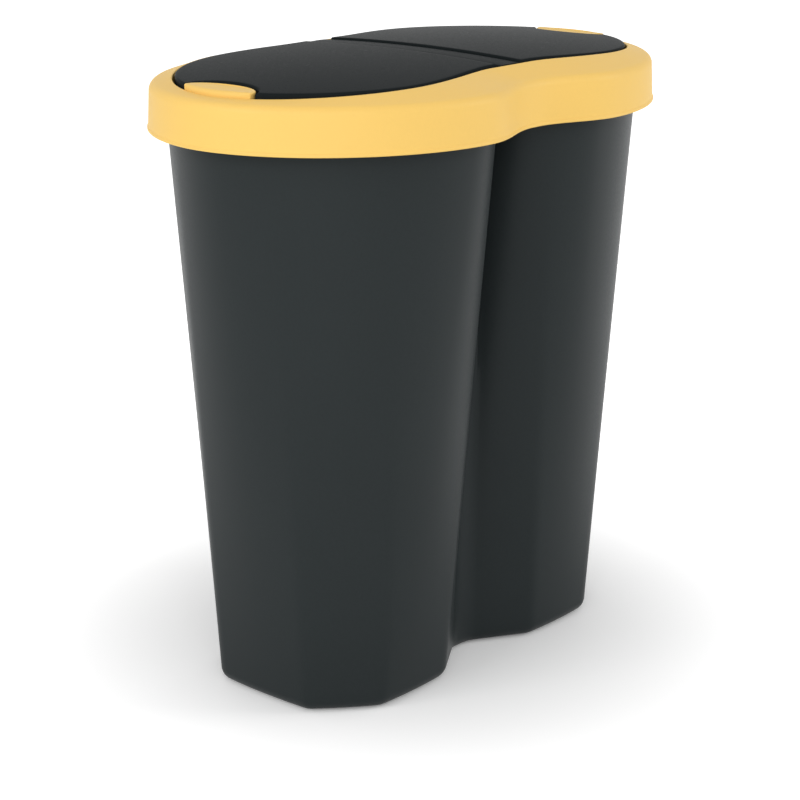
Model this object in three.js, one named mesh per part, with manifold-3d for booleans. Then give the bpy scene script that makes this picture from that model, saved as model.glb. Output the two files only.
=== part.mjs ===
// Double recycling bin: one dark twin-lobed tub, a yellow press-on collar, a fixed centre bridge and
// two lids that hinge beside it, each held by a sprung rocker latch. Millimetres, +Z up.
// X runs along the bin from the left chamber to the right one, Y from front to back.
import * as THREE from 'three';
import { mergeVertices } from 'three/addons/utils/BufferGeometryUtils.js';
import Module from 'manifold-3d';

const wasm = await Module();
wasm.setup();

// ---------------------------------------------------------------- driving dimensions
// Running gap between pieces that touch, and bore clearance round a turning pin.
const seatGap = 0.3;
const boreClearance = 0.3;
// How far a cutting solid runs past the face that it opens.
const cutOverrun = 2;

// Overall size: the tub's rim carries the collar, and the collar carries the lids.
const tubRimZ = 528;
const collarHalfLength = 265;
const collarHalfDepth = 164.5;

// Collar, seen from above: two rounded lobes joined by a waist.
const waistSetIn = 22.5;
const collarLobeReach = 178;
const collarWaistHalf = collarHalfDepth - waistSetIn;
const collarLobeCentre = collarHalfLength - collarLobeReach;
const collarLobePower = 1.9;
const collarWaistEase = 0.95;
const collarWaistFlat = 4;
const collarOverlap = 24.5;
const collarShoulderRise = 16;
const collarBottomZ = tubRimZ - collarOverlap;
const collarShoulderZ = tubRimZ + collarShoulderRise;
const collarShoulderRadius = 8;
const collarWallDraft = 1.4;
const collarBeadHeight = 2.5;
const collarBeadDepth = 0.8;
const collarWall = 3;
const collarLedgeThickness = 2.6;
const collarRibCount = 16;
const collarRibThickness = 2;

// Opening in the collar. Its edge rises towards the waist.
const ledgeWidthAtEnd = 18;
const ledgeWidthAtSide = 39.5;
const ledgeWidthAtWaist = 28.5;
const openingLobeReach = 129;
const openingHalfLength = collarHalfLength - ledgeWidthAtEnd;
const openingHalfDepth = collarHalfDepth - ledgeWidthAtSide;
const openingWaistHalf = collarWaistHalf - ledgeWidthAtWaist;
const openingLobeCentre = openingHalfLength - openingLobeReach;
const openingLobePower = 1.85;
const openingWaistEase = 0.8;
const openingWaistFlat = 30;
const openingRise = 26;
const openingWaistZ = tubRimZ + openingRise;
const openingEndDrop = 9;
const openingLipDepth = 15;
const openingLipWall = 2.4;
const openingEdgeRadius = 1;

// Tub: round lobes at the top turn into eight-sided lobes at the foot.
const tubTopInset = 17.3;
const tubRimWidth = 11;
const tubRimThickness = 3;
const tubRimTurnDown = 7;
const tubRimEdge = 1;
const tubWall = 2.8;
const tubFootHalfLength = 200.6;
const tubFootEndHalf = 52;
const tubFootCornerCut = 52.6;
const tubFootCornerOuter = tubFootHalfLength - tubFootCornerCut;
const tubFootCornerInner = 63.7;
const tubFootHalfDepth = 98.9;
const tubFootWaistSetIn = 33.7;
const tubFootWaistHalf = tubFootHalfDepth - tubFootWaistSetIn;
const tubFootWaistFlat = 10.9;
const tubFootBulge = 0.024;
const tubFootRadius = 12.7;
const tubFloorThickness = 3;
const tubFootRingWidth = 9;
const tubFootRingHeight = 7;
const tubFootBandHalf = 14;
const tubTopEndCreaseY = 58;
const tubTopCreaseSetback = 107;
const tubTopOuterCreaseX = collarHalfLength - tubTopCreaseSetback;
const tubTopInnerCreaseX = 39;

// Inner buckets, one in each chamber.
const bucketClearance = 3.5;
const bucketRimWidth = 5;
const bucketRimThickness = 2.4;
const bucketRimDrop = 22;
const bucketRimZ = tubRimZ - bucketRimDrop;
const bucketWall = 2;
const bucketCentreGap = 5;
const bucketCornerRadius = 22;
const bucketFootRadius = 8;
const bucketRimEdge = 0.6;
const bucketHandHoleWidth = 84;
const bucketHandHoleHeight = 22;
const bucketHandHoleDrop = 16;
const bucketHandHoleCut = 6;
const dividerOverrun = 12;

// Crown of the lids: highest in the middle of the bin, falling to the ends and the sides.
const crownRise = 5;
const crownZ = openingWaistZ + crownRise;
const crownEndDrop = 11;
const crownSideDrop = 4;
const lidSkin = 2.4;
const lidEdgeGap = 2;
const lidEdgeRadius = 2;
const lidInsideRadius = 0.5;
const lidSkirt = 12;
const lidInnerSkirt = 7;
const lidRibThickness = 1.6;
const lidRibDepth = 5;
const lidRibReach = 168;

// Centre bridge between the lids.
const bridgeHalfWidth = 13.4;
const bridgeSetDown = 1.5;
const bridgeSkin = 2.4;
const bridgeEndGap = 0.8;
const bridgeFlangeDepth = 15;
const bridgeFootLength = 13;
const bridgeShelfThickness = 3;
const bridgeShelfDepth = 23;
const bridgeShelfZ = openingWaistZ - bridgeShelfDepth;
const seamGap = 2.8;

// Lid hinges: a steel rod on each side of the bridge.
const hingeRodRadius = 2;
const hingeRodSetback = 11.4;
const hingeRodDepth = 4;
const hingeRodZ = openingWaistZ - hingeRodDepth;
const hingeRodEnd = 2.2;
const hingeBossHalf = 5;
const hingeKnuckleRadius = 4.3;
const hingeKnuckleLength = 22;
const hingeKnuckleSetIn = 30.5;
const hingeKnuckleSpacing = openingWaistHalf - hingeKnuckleSetIn;
const knuckleRow = [-hingeKnuckleSpacing, 0, hingeKnuckleSpacing];

// Latches: a thumb pad in a notch at the outer end of each lid.
const padHalfWidth = 38;
const padCornerDepth = 1.4;
const padReach = 21;
const padRise = 4.6;
const padSkin = 2.2;
const padSeam = 0.5;
const padDishDepth = 1.2;
const padDishRadius = 60;
const padEdgeRadius = 1.2;
const padHeelInset = 0.9;
const notchGap = 2;
const notchWallDepth = 7;
const notchOverrun = 12;
const latchPivotSetback = 2;
const latchPivotDepth = 15.5;
const latchPivotZ = openingWaistZ - latchPivotDepth;
const latchPivotRadius = 2.2;
const latchPivotLength = 2.4;
const latchSkirtDepth = 3.5;
const latchTrayDepth = 25.4;
const latchTrayFloor = 2.4;
const latchTrayRimDepth = 12;
const latchTrayFloorZ = openingWaistZ - latchTrayDepth;
const latchTrayRimZ = openingWaistZ - latchTrayRimDepth;
const latchTrayWall = 2.4;
const latchTrayGap = 0.8;
const latchTrayClearance = 1.5;
const springRadius = 4.2;
const springWireRadius = 0.9;
const springTurns = 5;
const springSetback = 12;
const springPegHeight = 3;

// Screws that hold the bridge to the collar.
const screwRadius = 1.7;
const screwHeadRadius = 3.4;
const screwHeadHeight = 2.2;
const screwLength = 11;
const screwInset = 6.5;

// Facets round each quarter of an outline.
const lobeSteps = 11;
const waistSteps = 6;
const filletSteps = 3;
const lidEdgeSteps = 2;
const crownShares = [0.7, 0.35];
const padSteps = 12;
const bridgeSteps = 12;
const cornerSteps = 4;

// ---------------------------------------------------------------- materials
function plastic(color, roughness) {
  return new THREE.MeshStandardMaterial({ color, roughness, metalness: 0 });
}

const tubPlastic = plastic(0x2f3436, 0.5);
const lidPlastic = plastic(0x33383a, 0.42);
const collarPlastic = plastic(0xf4c766, 0.45);
const bucketPlastic = plastic(0x4a4f50, 0.6);
const steel = new THREE.MeshStandardMaterial({ color: 0xb9bcbe, roughness: 0.35, metalness: 1 });

// ---------------------------------------------------------------- solids
function solidFrom(geometry) {
  const bare = geometry.clone();
  bare.deleteAttribute('normal');
  bare.deleteAttribute('uv');
  const welded = mergeVertices(bare, 1e-4);
  return new wasm.Manifold(new wasm.Mesh({
    numProp: 3,
    vertProperties: new Float32Array(welded.attributes.position.array),
    triVerts: new Uint32Array(welded.index.array),
  }));
}

function geometryFrom(solid) {
  const mesh = solid.getMesh();
  const geometry = new THREE.BufferGeometry();
  geometry.setAttribute('position', new THREE.BufferAttribute(new Float32Array(mesh.vertProperties), 3));
  geometry.setIndex(new THREE.BufferAttribute(new Uint32Array(mesh.triVerts), 1));
  return geometry;
}

function joined(solids) {
  return solids.reduce((whole, piece) => whole.add(piece));
}

function box(x0, x1, y0, y1, z0, z1) {
  const geometry = new THREE.BoxGeometry(x1 - x0, y1 - y0, z1 - z0);
  geometry.translate((x0 + x1) / 2, (y0 + y1) / 2, (z0 + z1) / 2);
  return solidFrom(geometry);
}

function rodAlongY(radius, x, z, y0, y1, facets = 16) {
  const geometry = new THREE.CylinderGeometry(radius, radius, y1 - y0, facets);
  geometry.translate(x, (y0 + y1) / 2, z);
  return geometry;
}

function rodAlongZ(radius, x, y, z0, z1, facets = 16) {
  const geometry = new THREE.CylinderGeometry(radius, radius, z1 - z0, facets);
  geometry.rotateX(Math.PI / 2);
  geometry.translate(x, y, (z0 + z1) / 2);
  return geometry;
}

// A skin through a stack of rings with as many points each. An open stack is capped at both ends;
// a closed one joins its last ring to its first, like the section of a frame.
function loft(rings, closed = false) {
  const count = rings[0].length;
  const positions = rings.flat(2);
  const index = [];
  const bands = closed ? rings.length : rings.length - 1;
  for (let band = 0; band < bands; band += 1) {
    const lower = band * count;
    const upper = ((band + 1) % rings.length) * count;
    for (let i = 0; i < count; i += 1) {
      const next = (i + 1) % count;
      index.push(lower + i, lower + next, upper + next, lower + i, upper + next, upper + i);
    }
  }
  if (!closed) {
    addCap(index, rings[0], 0, false);
    addCap(index, rings[rings.length - 1], (rings.length - 1) * count, true);
  }
  const geometry = new THREE.BufferGeometry();
  geometry.setAttribute('position', new THREE.Float32BufferAttribute(positions, 3));
  geometry.setIndex(index);
  return geometry;
}

function addCap(index, ring, offset, facesUp) {
  const contour = ring.map(([x, y]) => new THREE.Vector2(x, y));
  for (const [a, b, c] of THREE.ShapeUtils.triangulateShape(contour, [])) {
    const turn = cross(contour[a], contour[b], contour[c]) > 0;
    const [second, third] = turn === facesUp ? [b, c] : [c, b];
    index.push(offset + a, offset + second, offset + third);
  }
}

function cross(a, b, c) {
  return (b.x - a.x) * (c.y - a.y) - (b.y - a.y) * (c.x - a.x);
}

function ringAt(outline, height) {
  return outline.map(([x, y]) => [x, y, typeof height === 'function' ? height(x, y) : height]);
}

function prism(outline, z0, z1) {
  return solidFrom(loft([ringAt(outline, z0), ringAt(outline, z1)]));
}

// ---------------------------------------------------------------- outlines
// Moves every point of a counter-clockwise outline inwards by a distance, square to its sides.
function inset(outline, distance) {
  const count = outline.length;
  return outline.map((point, i) => {
    const before = outline[(i + count - 1) % count];
    const after = outline[(i + 1) % count];
    const a = unit(point[0] - before[0], point[1] - before[1]);
    const b = unit(after[0] - point[0], after[1] - point[1]);
    const bisector = unit(-a[1] - b[1], a[0] + b[0]);
    const reach = distance / Math.max(0.5, -a[1] * bisector[0] + a[0] * bisector[1]);
    return [point[0] + bisector[0] * reach, point[1] + bisector[1] * reach];
  });
}

function unit(x, y) {
  const length = Math.hypot(x, y);
  return [x / length, y / length];
}

// Mirrors a quarter outline, from the end of the bin to its waist, into the whole loop.
function fourQuarters(quarter) {
  const back = [...quarter].reverse();
  return [
    ...quarter,
    ...back.map(([x, y]) => [-x, y]),
    ...quarter.slice(1).map(([x, y]) => [-x, -y]),
    ...back.slice(0, -1).map(([x, y]) => [x, -y]),
  ];
}

function powerCurve(size, angle) {
  const x = Math.cos(angle) ** (2 / size.power);
  const y = Math.sin(angle) ** (2 / size.power);
  return [size.centre + (size.halfLength - size.centre) * x, size.halfDepth * y];
}

function waistCurve(size, share) {
  const x = size.flat + (size.centre - size.flat) * share;
  const rise = 0.5 - 0.5 * Math.cos(Math.PI * share ** size.ease);
  return [x, size.waistHalf + (size.halfDepth - size.waistHalf) * rise];
}

function lobedQuarter(size) {
  const points = [];
  for (let i = 0; i <= lobeSteps; i += 1) {
    const share = i / lobeSteps;
    points.push(powerCurve(size, (Math.PI / 2) * share));
  }
  for (let i = 1; i <= waistSteps; i += 1) points.push(waistCurve(size, 1 - i / waistSteps));
  return points;
}

const collarSize = {
  halfLength: collarHalfLength,
  halfDepth: collarHalfDepth,
  waistHalf: collarWaistHalf,
  centre: collarLobeCentre,
  power: collarLobePower,
  ease: collarWaistEase,
  flat: collarWaistFlat,
};

const openingSize = {
  halfLength: openingHalfLength,
  halfDepth: openingHalfDepth,
  waistHalf: openingWaistHalf,
  centre: openingLobeCentre,
  power: openingLobePower,
  ease: openingWaistEase,
  flat: openingWaistFlat,
};

const collarOutline = fourQuarters(lobedQuarter(collarSize));
const openingOutline = fourQuarters(lobedQuarter(openingSize));

// Height of the opening's edge, and of the lids' crown, anywhere over the bin.
function openingZ(x) {
  return openingWaistZ - openingEndDrop * (x / openingHalfLength) ** 2;
}

function crownSurface(x, y) {
  const along = (x / collarHalfLength) ** 2;
  const across = (y / openingHalfDepth) ** 2;
  return crownZ - crownEndDrop * along - crownSideDrop * across;
}

// ---------------------------------------------------------------- tub
// Points of the tub's top outline between the places where its creases run out.
const tubTopSize = {
  halfLength: collarHalfLength - tubTopInset,
  halfDepth: collarHalfDepth - tubTopInset,
  waistHalf: collarWaistHalf - tubTopInset,
  centre: collarLobeCentre,
  power: collarLobePower,
  ease: collarWaistEase,
  flat: collarWaistFlat,
};
const tubSegments = [3, 4, 6, 5];

function tubTopQuarter() {
  const { halfLength, halfDepth, centre, power, flat } = tubTopSize;
  const endAngle = Math.asin((tubTopEndCreaseY / halfDepth) ** (power / 2));
  const outerAngle = Math.acos(((tubTopOuterCreaseX - centre) / (halfLength - centre)) ** (power / 2));
  const innerShare = (tubTopInnerCreaseX - flat) / (centre - flat);
  const places = [0, endAngle / (Math.PI / 2), outerAngle / (Math.PI / 2), 2 - innerShare, 2];
  const points = [];
  tubSegments.forEach((steps, part) => {
    for (let i = 0; i < steps; i += 1) {
      points.push(tubTopPoint(mix(places[part], places[part + 1], i / steps)));
    }
  });
  points.push(tubTopPoint(2));
  return points;
}

function tubTopPoint(place) {
  if (place <= 1) return powerCurve(tubTopSize, (Math.PI / 2) * place);
  return waistCurve(tubTopSize, 2 - place);
}

function mix(a, b, share) {
  return a + (b - a) * share;
}

function tubFootQuarter() {
  const corners = [
    [tubFootHalfLength, 0],
    [tubFootHalfLength, tubFootEndHalf],
    [tubFootCornerOuter, tubFootHalfDepth],
    [tubFootCornerInner, tubFootHalfDepth],
    [tubFootWaistFlat, tubFootWaistHalf],
  ];
  const points = [];
  tubSegments.forEach((steps, part) => {
    const [x0, y0] = corners[part];
    const [x1, y1] = corners[part + 1];
    const length = Math.hypot(x1 - x0, y1 - y0);
    const side = unit(y1 - y0, x0 - x1);
    for (let i = 0; i < steps; i += 1) {
      const share = i / steps;
      const bulge = length * footBulgeShare(part, share);
      points.push([mix(x0, x1, share) + side[0] * bulge, mix(y0, y1, share) + side[1] * bulge]);
    }
  });
  points.push(corners[corners.length - 1]);
  return points;
}

// How far a side of the foot bows out, as a share of its length: the end side is cut at its middle,
// and the side into the waist is straight.
function footBulgeShare(part, share) {
  if (part === 0) return 2 * tubFootBulge * (1 - share * share);
  if (part === tubSegments.length - 1) return 0;
  return 4 * tubFootBulge * share * (1 - share);
}

const tubTop = fourQuarters(tubTopQuarter());
const tubFoot = fourQuarters(tubFootQuarter());

// The tub's outer outline at a height: straight rulings run from the foot to the collar.
function tubOutline(z) {
  const share = (z - tubFootRadius) / (collarBottomZ - tubFootRadius);
  return tubFoot.map(([x, y], i) => [mix(x, tubTop[i][0], share), mix(y, tubTop[i][1], share)]);
}

// Rings of a rounded foot: the lowest is drawn in by the whole radius.
function footRings(outlineAt, bottomZ, radius, extraInset) {
  const rings = [];
  for (let i = 0; i <= filletSteps; i += 1) {
    const angle = (Math.PI / 2) * (i / filletSteps);
    const z = bottomZ + radius * (1 - Math.cos(angle));
    const outline = inset(outlineAt(z), extraInset + radius * (1 - Math.sin(angle)));
    rings.push(ringAt(outline, z));
  }
  return rings;
}

function makeTub() {
  const cavityFloorZ = tubFootRingHeight + tubFloorThickness;
  const rimUnderZ = tubRimZ - tubRimThickness;
  const rimDepth = tubRimWidth - tubWall;
  const lift = (z, distance) => ringAt(inset(tubOutline(z), distance), z);
  const wallHeights = [0.33, 0.67].map((share) => mix(tubFootRadius, rimUnderZ, share));
  const outer = [
    ...footRings(tubOutline, 0, tubFootRadius, 0),
    ...wallHeights.map((z) => lift(z, 0)),
    lift(rimUnderZ, 0),
    ringAt(inset(tubOutline(rimUnderZ), tubWall - rimDepth), rimUnderZ),
    ringAt(inset(tubOutline(rimUnderZ), tubWall - rimDepth), rimUnderZ - tubRimTurnDown),
    ringAt(inset(tubOutline(rimUnderZ), -rimDepth), rimUnderZ - tubRimTurnDown),
    ringAt(inset(tubOutline(rimUnderZ), -rimDepth), tubRimZ - tubRimEdge),
    ringAt(inset(tubOutline(tubRimZ), tubRimEdge - rimDepth), tubRimZ),
    ringAt(inset(tubOutline(tubRimZ), tubWall), tubRimZ),
    ...[...wallHeights].reverse().map((z) => lift(z, tubWall)),
    ...footRings(tubOutline, cavityFloorZ, tubFootRadius, tubWall).reverse(),
  ];
  const shell = solidFrom(loft(outer));
  const recess = prism(inset(tubOutline(0), tubFootRadius + tubFootRingWidth), -cutOverrun,
    tubFootRingHeight);
  const band = box(-tubFootBandHalf, tubFootBandHalf, -collarHalfDepth, collarHalfDepth, -cutOverrun * 2,
    tubFootRingHeight + cutOverrun);
  return shell.subtract(recess.subtract(band));
}

// ---------------------------------------------------------------- collar
function shoulderRings(extra, z, radius, steps) {
  const rings = [];
  for (let i = 0; i <= steps; i += 1) {
    const angle = (Math.PI / 2) * (i / steps);
    const distance = collarBeadDepth + collarWallDraft + extra + radius * (1 - Math.cos(angle));
    rings.push(ringAt(inset(collarOutline, distance), z - radius + radius * Math.sin(angle)));
  }
  return rings;
}

// Outside of the collar, from its lower edge over the shoulder to the edge of the opening.
function collarOutside() {
  const beadTop = collarBottomZ + collarBeadHeight;
  return [
    ringAt(collarOutline, collarBottomZ),
    ringAt(collarOutline, beadTop),
    ringAt(inset(collarOutline, collarBeadDepth), beadTop + collarBeadDepth),
    ...shoulderRings(0, collarShoulderZ, collarShoulderRadius, filletSteps),
    ringAt(inset(openingOutline, -openingEdgeRadius), (x) => openingZ(x)),
    ringAt(openingOutline, (x) => openingZ(x) - openingEdgeRadius),
  ];
}

function makeCollar() {
  const lipBottom = (x) => openingZ(x) - openingLipDepth;
  const lipOuter = inset(openingOutline, -openingLipWall);
  const outside = collarOutside();
  const inside = [
    ringAt(openingOutline, lipBottom),
    ringAt(lipOuter, lipBottom),
    ringAt(lipOuter, (x) => openingZ(x) - collarLedgeThickness),
    ...shoulderRings(collarWall, collarShoulderZ - collarLedgeThickness,
      collarShoulderRadius - collarWall, 1).reverse(),
    ringAt(inset(collarOutline, collarWall), collarBottomZ + collarBeadHeight),
    ringAt(inset(collarOutline, collarWall), collarBottomZ),
  ];
  const shell = solidFrom(loft([...outside, ...inside], true));
  const inner = [ringAt(openingOutline, lipBottom), ringAt(lipOuter, collarBottomZ)];
  const filled = solidFrom(loft([...outside, inner[0], inner[1]], true));
  const extras = [...collarRibs(), ...hingeBosses()].map((piece) => piece.intersect(filled));
  const whole = joined([shell, ...extras, ...bridgeShelves(), ...latchTrays()]);
  const cuts = [...hingeRodHoles(), ...screwHoles(), ...latchPivotHoles()];
  return whole.subtract(joined(cuts));
}

// Gussets under the ledge, which rest on the tub's rim.
function collarRibs() {
  const ribs = [];
  const seatZ = tubRimZ + seatGap;
  for (let i = 0; i < collarRibCount; i += 1) {
    const share = (i + 0.5) / collarRibCount;
    const place = Math.round(share * collarOutline.length) % collarOutline.length;
    const outer = collarOutline[place];
    const inner = openingOutline[place];
    const length = Math.hypot(outer[0] - inner[0], outer[1] - inner[1]);
    const height = openingWaistZ - seatZ;
    const geometry = new THREE.BoxGeometry(length - openingLipWall, collarRibThickness, height);
    geometry.rotateZ(Math.atan2(outer[1] - inner[1], outer[0] - inner[0]));
    geometry.translate((outer[0] + inner[0]) / 2, (outer[1] + inner[1]) / 2, (openingWaistZ + seatZ) / 2);
    ribs.push(solidFrom(geometry));
  }
  return ribs;
}

const hingeRodX = bridgeHalfWidth + seamGap + hingeRodSetback;
const hingeRodHalfLength = openingWaistHalf + hingeRodEnd;
const sides = [-1, 1];

function hingeBosses() {
  const bosses = [];
  for (const sideX of sides) {
    for (const sideY of sides) {
      const x = sideX * hingeRodX;
      const y0 = sideY * (openingWaistHalf + openingLipWall / 2);
      const y1 = sideY * (hingeRodHalfLength + collarWall);
      bosses.push(box(x - hingeBossHalf, x + hingeBossHalf, Math.min(y0, y1), Math.max(y0, y1),
        hingeRodZ - hingeBossHalf, openingWaistZ));
    }
  }
  return bosses;
}

function hingeRodHoles() {
  const reach = hingeRodHalfLength + boreClearance;
  return sides.map((side) => solidFrom(rodAlongY(hingeRodRadius + boreClearance, side * hingeRodX,
    hingeRodZ, -reach, reach)));
}

// Shelves inside the waist that carry the feet of the bridge.
function bridgeShelves() {
  return sides.map((side) => {
    const y0 = side * (openingWaistHalf + openingLipWall / 2);
    const y1 = side * (openingWaistHalf - bridgeEndGap - bridgeFootLength);
    const plate = box(-bridgeHalfWidth, bridgeHalfWidth, Math.min(y0, y1), Math.max(y0, y1),
      bridgeShelfZ, bridgeShelfZ + bridgeShelfThickness);
    const root = box(-bridgeHalfWidth, bridgeHalfWidth, Math.min(y0, side * openingWaistHalf),
      Math.max(y0, side * openingWaistHalf), bridgeShelfZ, openingWaistZ - collarLedgeThickness);
    return plate.add(root);
  });
}

const screwY = openingWaistHalf - bridgeEndGap - screwInset;

function screwHoles() {
  return sides.map((side) => solidFrom(rodAlongZ(screwRadius + boreClearance, 0, side * screwY,
    bridgeShelfZ - 1, bridgeShelfZ + bridgeShelfThickness + 1)));
}

// ---------------------------------------------------------------- latch pad and its tray
function openingEndX(y) {
  const share = 1 - (Math.abs(y) / openingHalfDepth) ** openingLobePower;
  return openingLobeCentre + (openingHalfLength - openingLobeCentre) * share ** (1 / openingLobePower);
}

// D-shaped outline of the pad at the right-hand end, grown by a margin on its inner side.
function padOutline(outerInset, margin) {
  const halfWidth = padHalfWidth + margin;
  const chordX = openingEndX(halfWidth) - Math.max(outerInset, 0) - padCornerDepth;
  const reach = chordX - (padChordX - padReach - margin);
  const points = [];
  for (let i = 0; i <= padSteps; i += 1) {
    const y = mix(-halfWidth, halfWidth, i / padSteps);
    points.push([openingEndX(y) - outerInset, y]);
  }
  for (let i = 0; i <= padSteps; i += 1) {
    const angle = Math.PI * (i / padSteps);
    points.push([chordX - reach * Math.sin(angle), halfWidth * Math.cos(angle)]);
  }
  return points;
}

function mirrored(outline) {
  return outline.map(([x, y]) => [-x, y]).reverse();
}

function endOutline(side, outerInset, margin) {
  const outline = padOutline(outerInset, margin);
  return side > 0 ? outline : mirrored(outline);
}

const padChordX = openingEndX(padHalfWidth) - padCornerDepth;
const padTopZ = openingZ(padChordX) + padRise;
const latchPivotX = padChordX - latchPivotSetback;
const latchSkirtBottomZ = latchPivotZ - latchSkirtDepth;
const springX = padChordX - springSetback;

// Tray under each pad: a floor with side cheeks that hold the pad's pivots.
function latchTrays() {
  return sides.map((side) => {
    const clear = latchTrayGap;
    const outer = endOutline(side, -openingLipWall / 2, clear + latchTrayWall);
    const inner = endOutline(side, 0, clear);
    const tray = prism(outer, latchTrayFloorZ, latchTrayRimZ);
    const hollow = prism(inner, latchTrayFloorZ + latchTrayFloor, latchTrayRimZ + 1);
    const peg = solidFrom(rodAlongZ(springRadius - springWireRadius * 2, side * springX, 0,
      latchTrayFloorZ, latchTrayFloorZ + latchTrayFloor + springPegHeight));
    return tray.subtract(hollow).add(peg);
  });
}

function latchPivotHoles() {
  const reach = padHalfWidth + latchPivotLength + boreClearance;
  return sides.map((side) => solidFrom(rodAlongY(latchPivotRadius + boreClearance, side * latchPivotX,
    latchPivotZ, -reach, reach)));
}

function makePad(side) {
  const drawnIn = (distance) => endOutline(side, padSeam + distance, -distance);
  const edgeStep = padEdgeRadius * (1 - Math.SQRT1_2);
  const block = solidFrom(loft([
    ringAt(drawnIn(padHeelInset), latchSkirtBottomZ),
    ringAt(drawnIn(0), latchPivotZ),
    ringAt(drawnIn(0), padTopZ - padEdgeRadius),
    ringAt(drawnIn(edgeStep), padTopZ - edgeStep),
    ringAt(drawnIn(padEdgeRadius), padTopZ),
  ]));
  const hollow = prism(drawnIn(padSkin), latchSkirtBottomZ - 1, padTopZ - padSkin - padDishDepth);
  const dish = new THREE.SphereGeometry(padDishRadius, 24, 20);
  dish.translate(side * (padChordX - padReach / 3), 0, padTopZ + padDishRadius - padDishDepth);
  const pivots = sides.map((end) => solidFrom(rodAlongY(latchPivotRadius, side * latchPivotX, latchPivotZ,
    Math.min(end * (padHalfWidth - padSkin), end * (padHalfWidth + latchPivotLength)),
    Math.max(end * (padHalfWidth - padSkin), end * (padHalfWidth + latchPivotLength)))));
  return joined([block.subtract(hollow).subtract(solidFrom(dish)), ...pivots]);
}

// ---------------------------------------------------------------- lids
// The part of the opening's outline on one side of the bridge, closed by the straight inner edge.
function lidOutline(side, gap) {
  const edge = bridgeHalfWidth + seamGap + gap - lidEdgeGap;
  const shrunk = inset(openingOutline, gap);
  const kept = shrunk.filter(([x]) => x > openingWaistFlat - gap);
  const half = openingWaistHalf - gap;
  const start = kept.findIndex(([, y], i) => y < 0 && kept[(i + kept.length - 1) % kept.length][1] >= 0);
  const ordered = [...kept.slice(start), ...kept.slice(0, start)];
  const innerSide = [];
  for (let i = 0; i <= bridgeSteps; i += 1) innerSide.push([edge, mix(half, -half, i / bridgeSteps)]);
  const outline = [...ordered, ...innerSide];
  return side > 0 ? outline : mirrored(outline);
}

function scaled(outline, centreX, share) {
  return outline.map(([x, y]) => [centreX + (x - centreX) * share, y * share]);
}

function lidRings(side, gap, drop, skirtDepth, radius) {
  const outline = lidOutline(side, gap);
  const centreX = side * openingLobeCentre;
  const bottomZ = (x, y) => {
    if (Math.abs(x) < hingeRodX) return hingeRodZ - lidInnerSkirt + lidSkirt - skirtDepth;
    return crownSurface(x, y) - skirtDepth;
  };
  const rings = [ringAt(outline, bottomZ)];
  for (let i = 0; i <= lidEdgeSteps; i += 1) {
    const angle = (Math.PI / 2) * (i / lidEdgeSteps);
    const ring = inset(outline, radius * (1 - Math.cos(angle)));
    rings.push(ringAt(ring, (x, y) => crownSurface(x, y) - drop - radius * (1 - Math.sin(angle))));
  }
  const top = inset(outline, radius);
  for (const share of crownShares) {
    rings.push(ringAt(scaled(top, centreX, share), (x, y) => crownSurface(x, y) - drop));
  }
  return rings;
}

function makeLid(side) {
  const blank = solidFrom(loft(lidRings(side, lidEdgeGap, 0, lidSkirt, lidEdgeRadius)));
  const hollow = solidFrom(loft(lidRings(side, lidEdgeGap + lidSkin, lidSkin, lidSkirt + cutOverrun,
    lidInsideRadius)));
  const topZ = crownZ + cutOverrun;
  const notch = prism(endOutline(side, -notchOverrun, notchGap), latchTrayFloorZ, topZ);
  const notchWall = prism(endOutline(side, -notchOverrun, notchGap + lidSkin), padTopZ - notchWallDepth,
    topZ);
  const trayMargin = latchTrayGap + latchTrayWall + latchTrayClearance;
  const trayRoom = prism(endOutline(side, -notchOverrun, trayMargin), latchTrayFloorZ,
    latchTrayRimZ + latchTrayClearance);
  const pieces = [blank.subtract(hollow), blank.intersect(notchWall), ...lidKnuckles(side, blank),
    ...lidRibs(side, blank)];
  const bore = solidFrom(rodAlongY(hingeRodRadius + boreClearance, side * hingeRodX, hingeRodZ,
    -openingWaistHalf, openingWaistHalf));
  return joined(pieces).subtract(notch).subtract(trayRoom).subtract(bore);
}

// Stiffening ribs under the lid, which run out from the knuckles and follow the crown.
function lidRibs(side, blank) {
  const drop = lidSkin + lidRibDepth;
  const under = solidFrom(loft(lidRings(side, lidEdgeGap + lidSkin, drop, lidSkirt + cutOverrun,
    lidInsideRadius)));
  const ends = [side * hingeRodX, side * lidRibReach];
  return knuckleRow.map((y) => {
    const rib = box(Math.min(...ends), Math.max(...ends), y - lidRibThickness / 2, y + lidRibThickness / 2,
      crownZ - lidSkirt, crownZ);
    return rib.intersect(blank).subtract(under);
  });
}

function lidKnuckles(side, blank) {
  return knuckleRow.map((y) => {
    const y0 = y - hingeKnuckleLength / 2;
    const y1 = y + hingeKnuckleLength / 2;
    const x = side * hingeRodX;
    const barrel = solidFrom(rodAlongY(hingeKnuckleRadius, x, hingeRodZ, y0, y1));
    const web = box(x - hingeKnuckleRadius, x + hingeKnuckleRadius, y0, y1, hingeRodZ, crownZ);
    return barrel.add(web.intersect(blank));
  });
}

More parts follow.
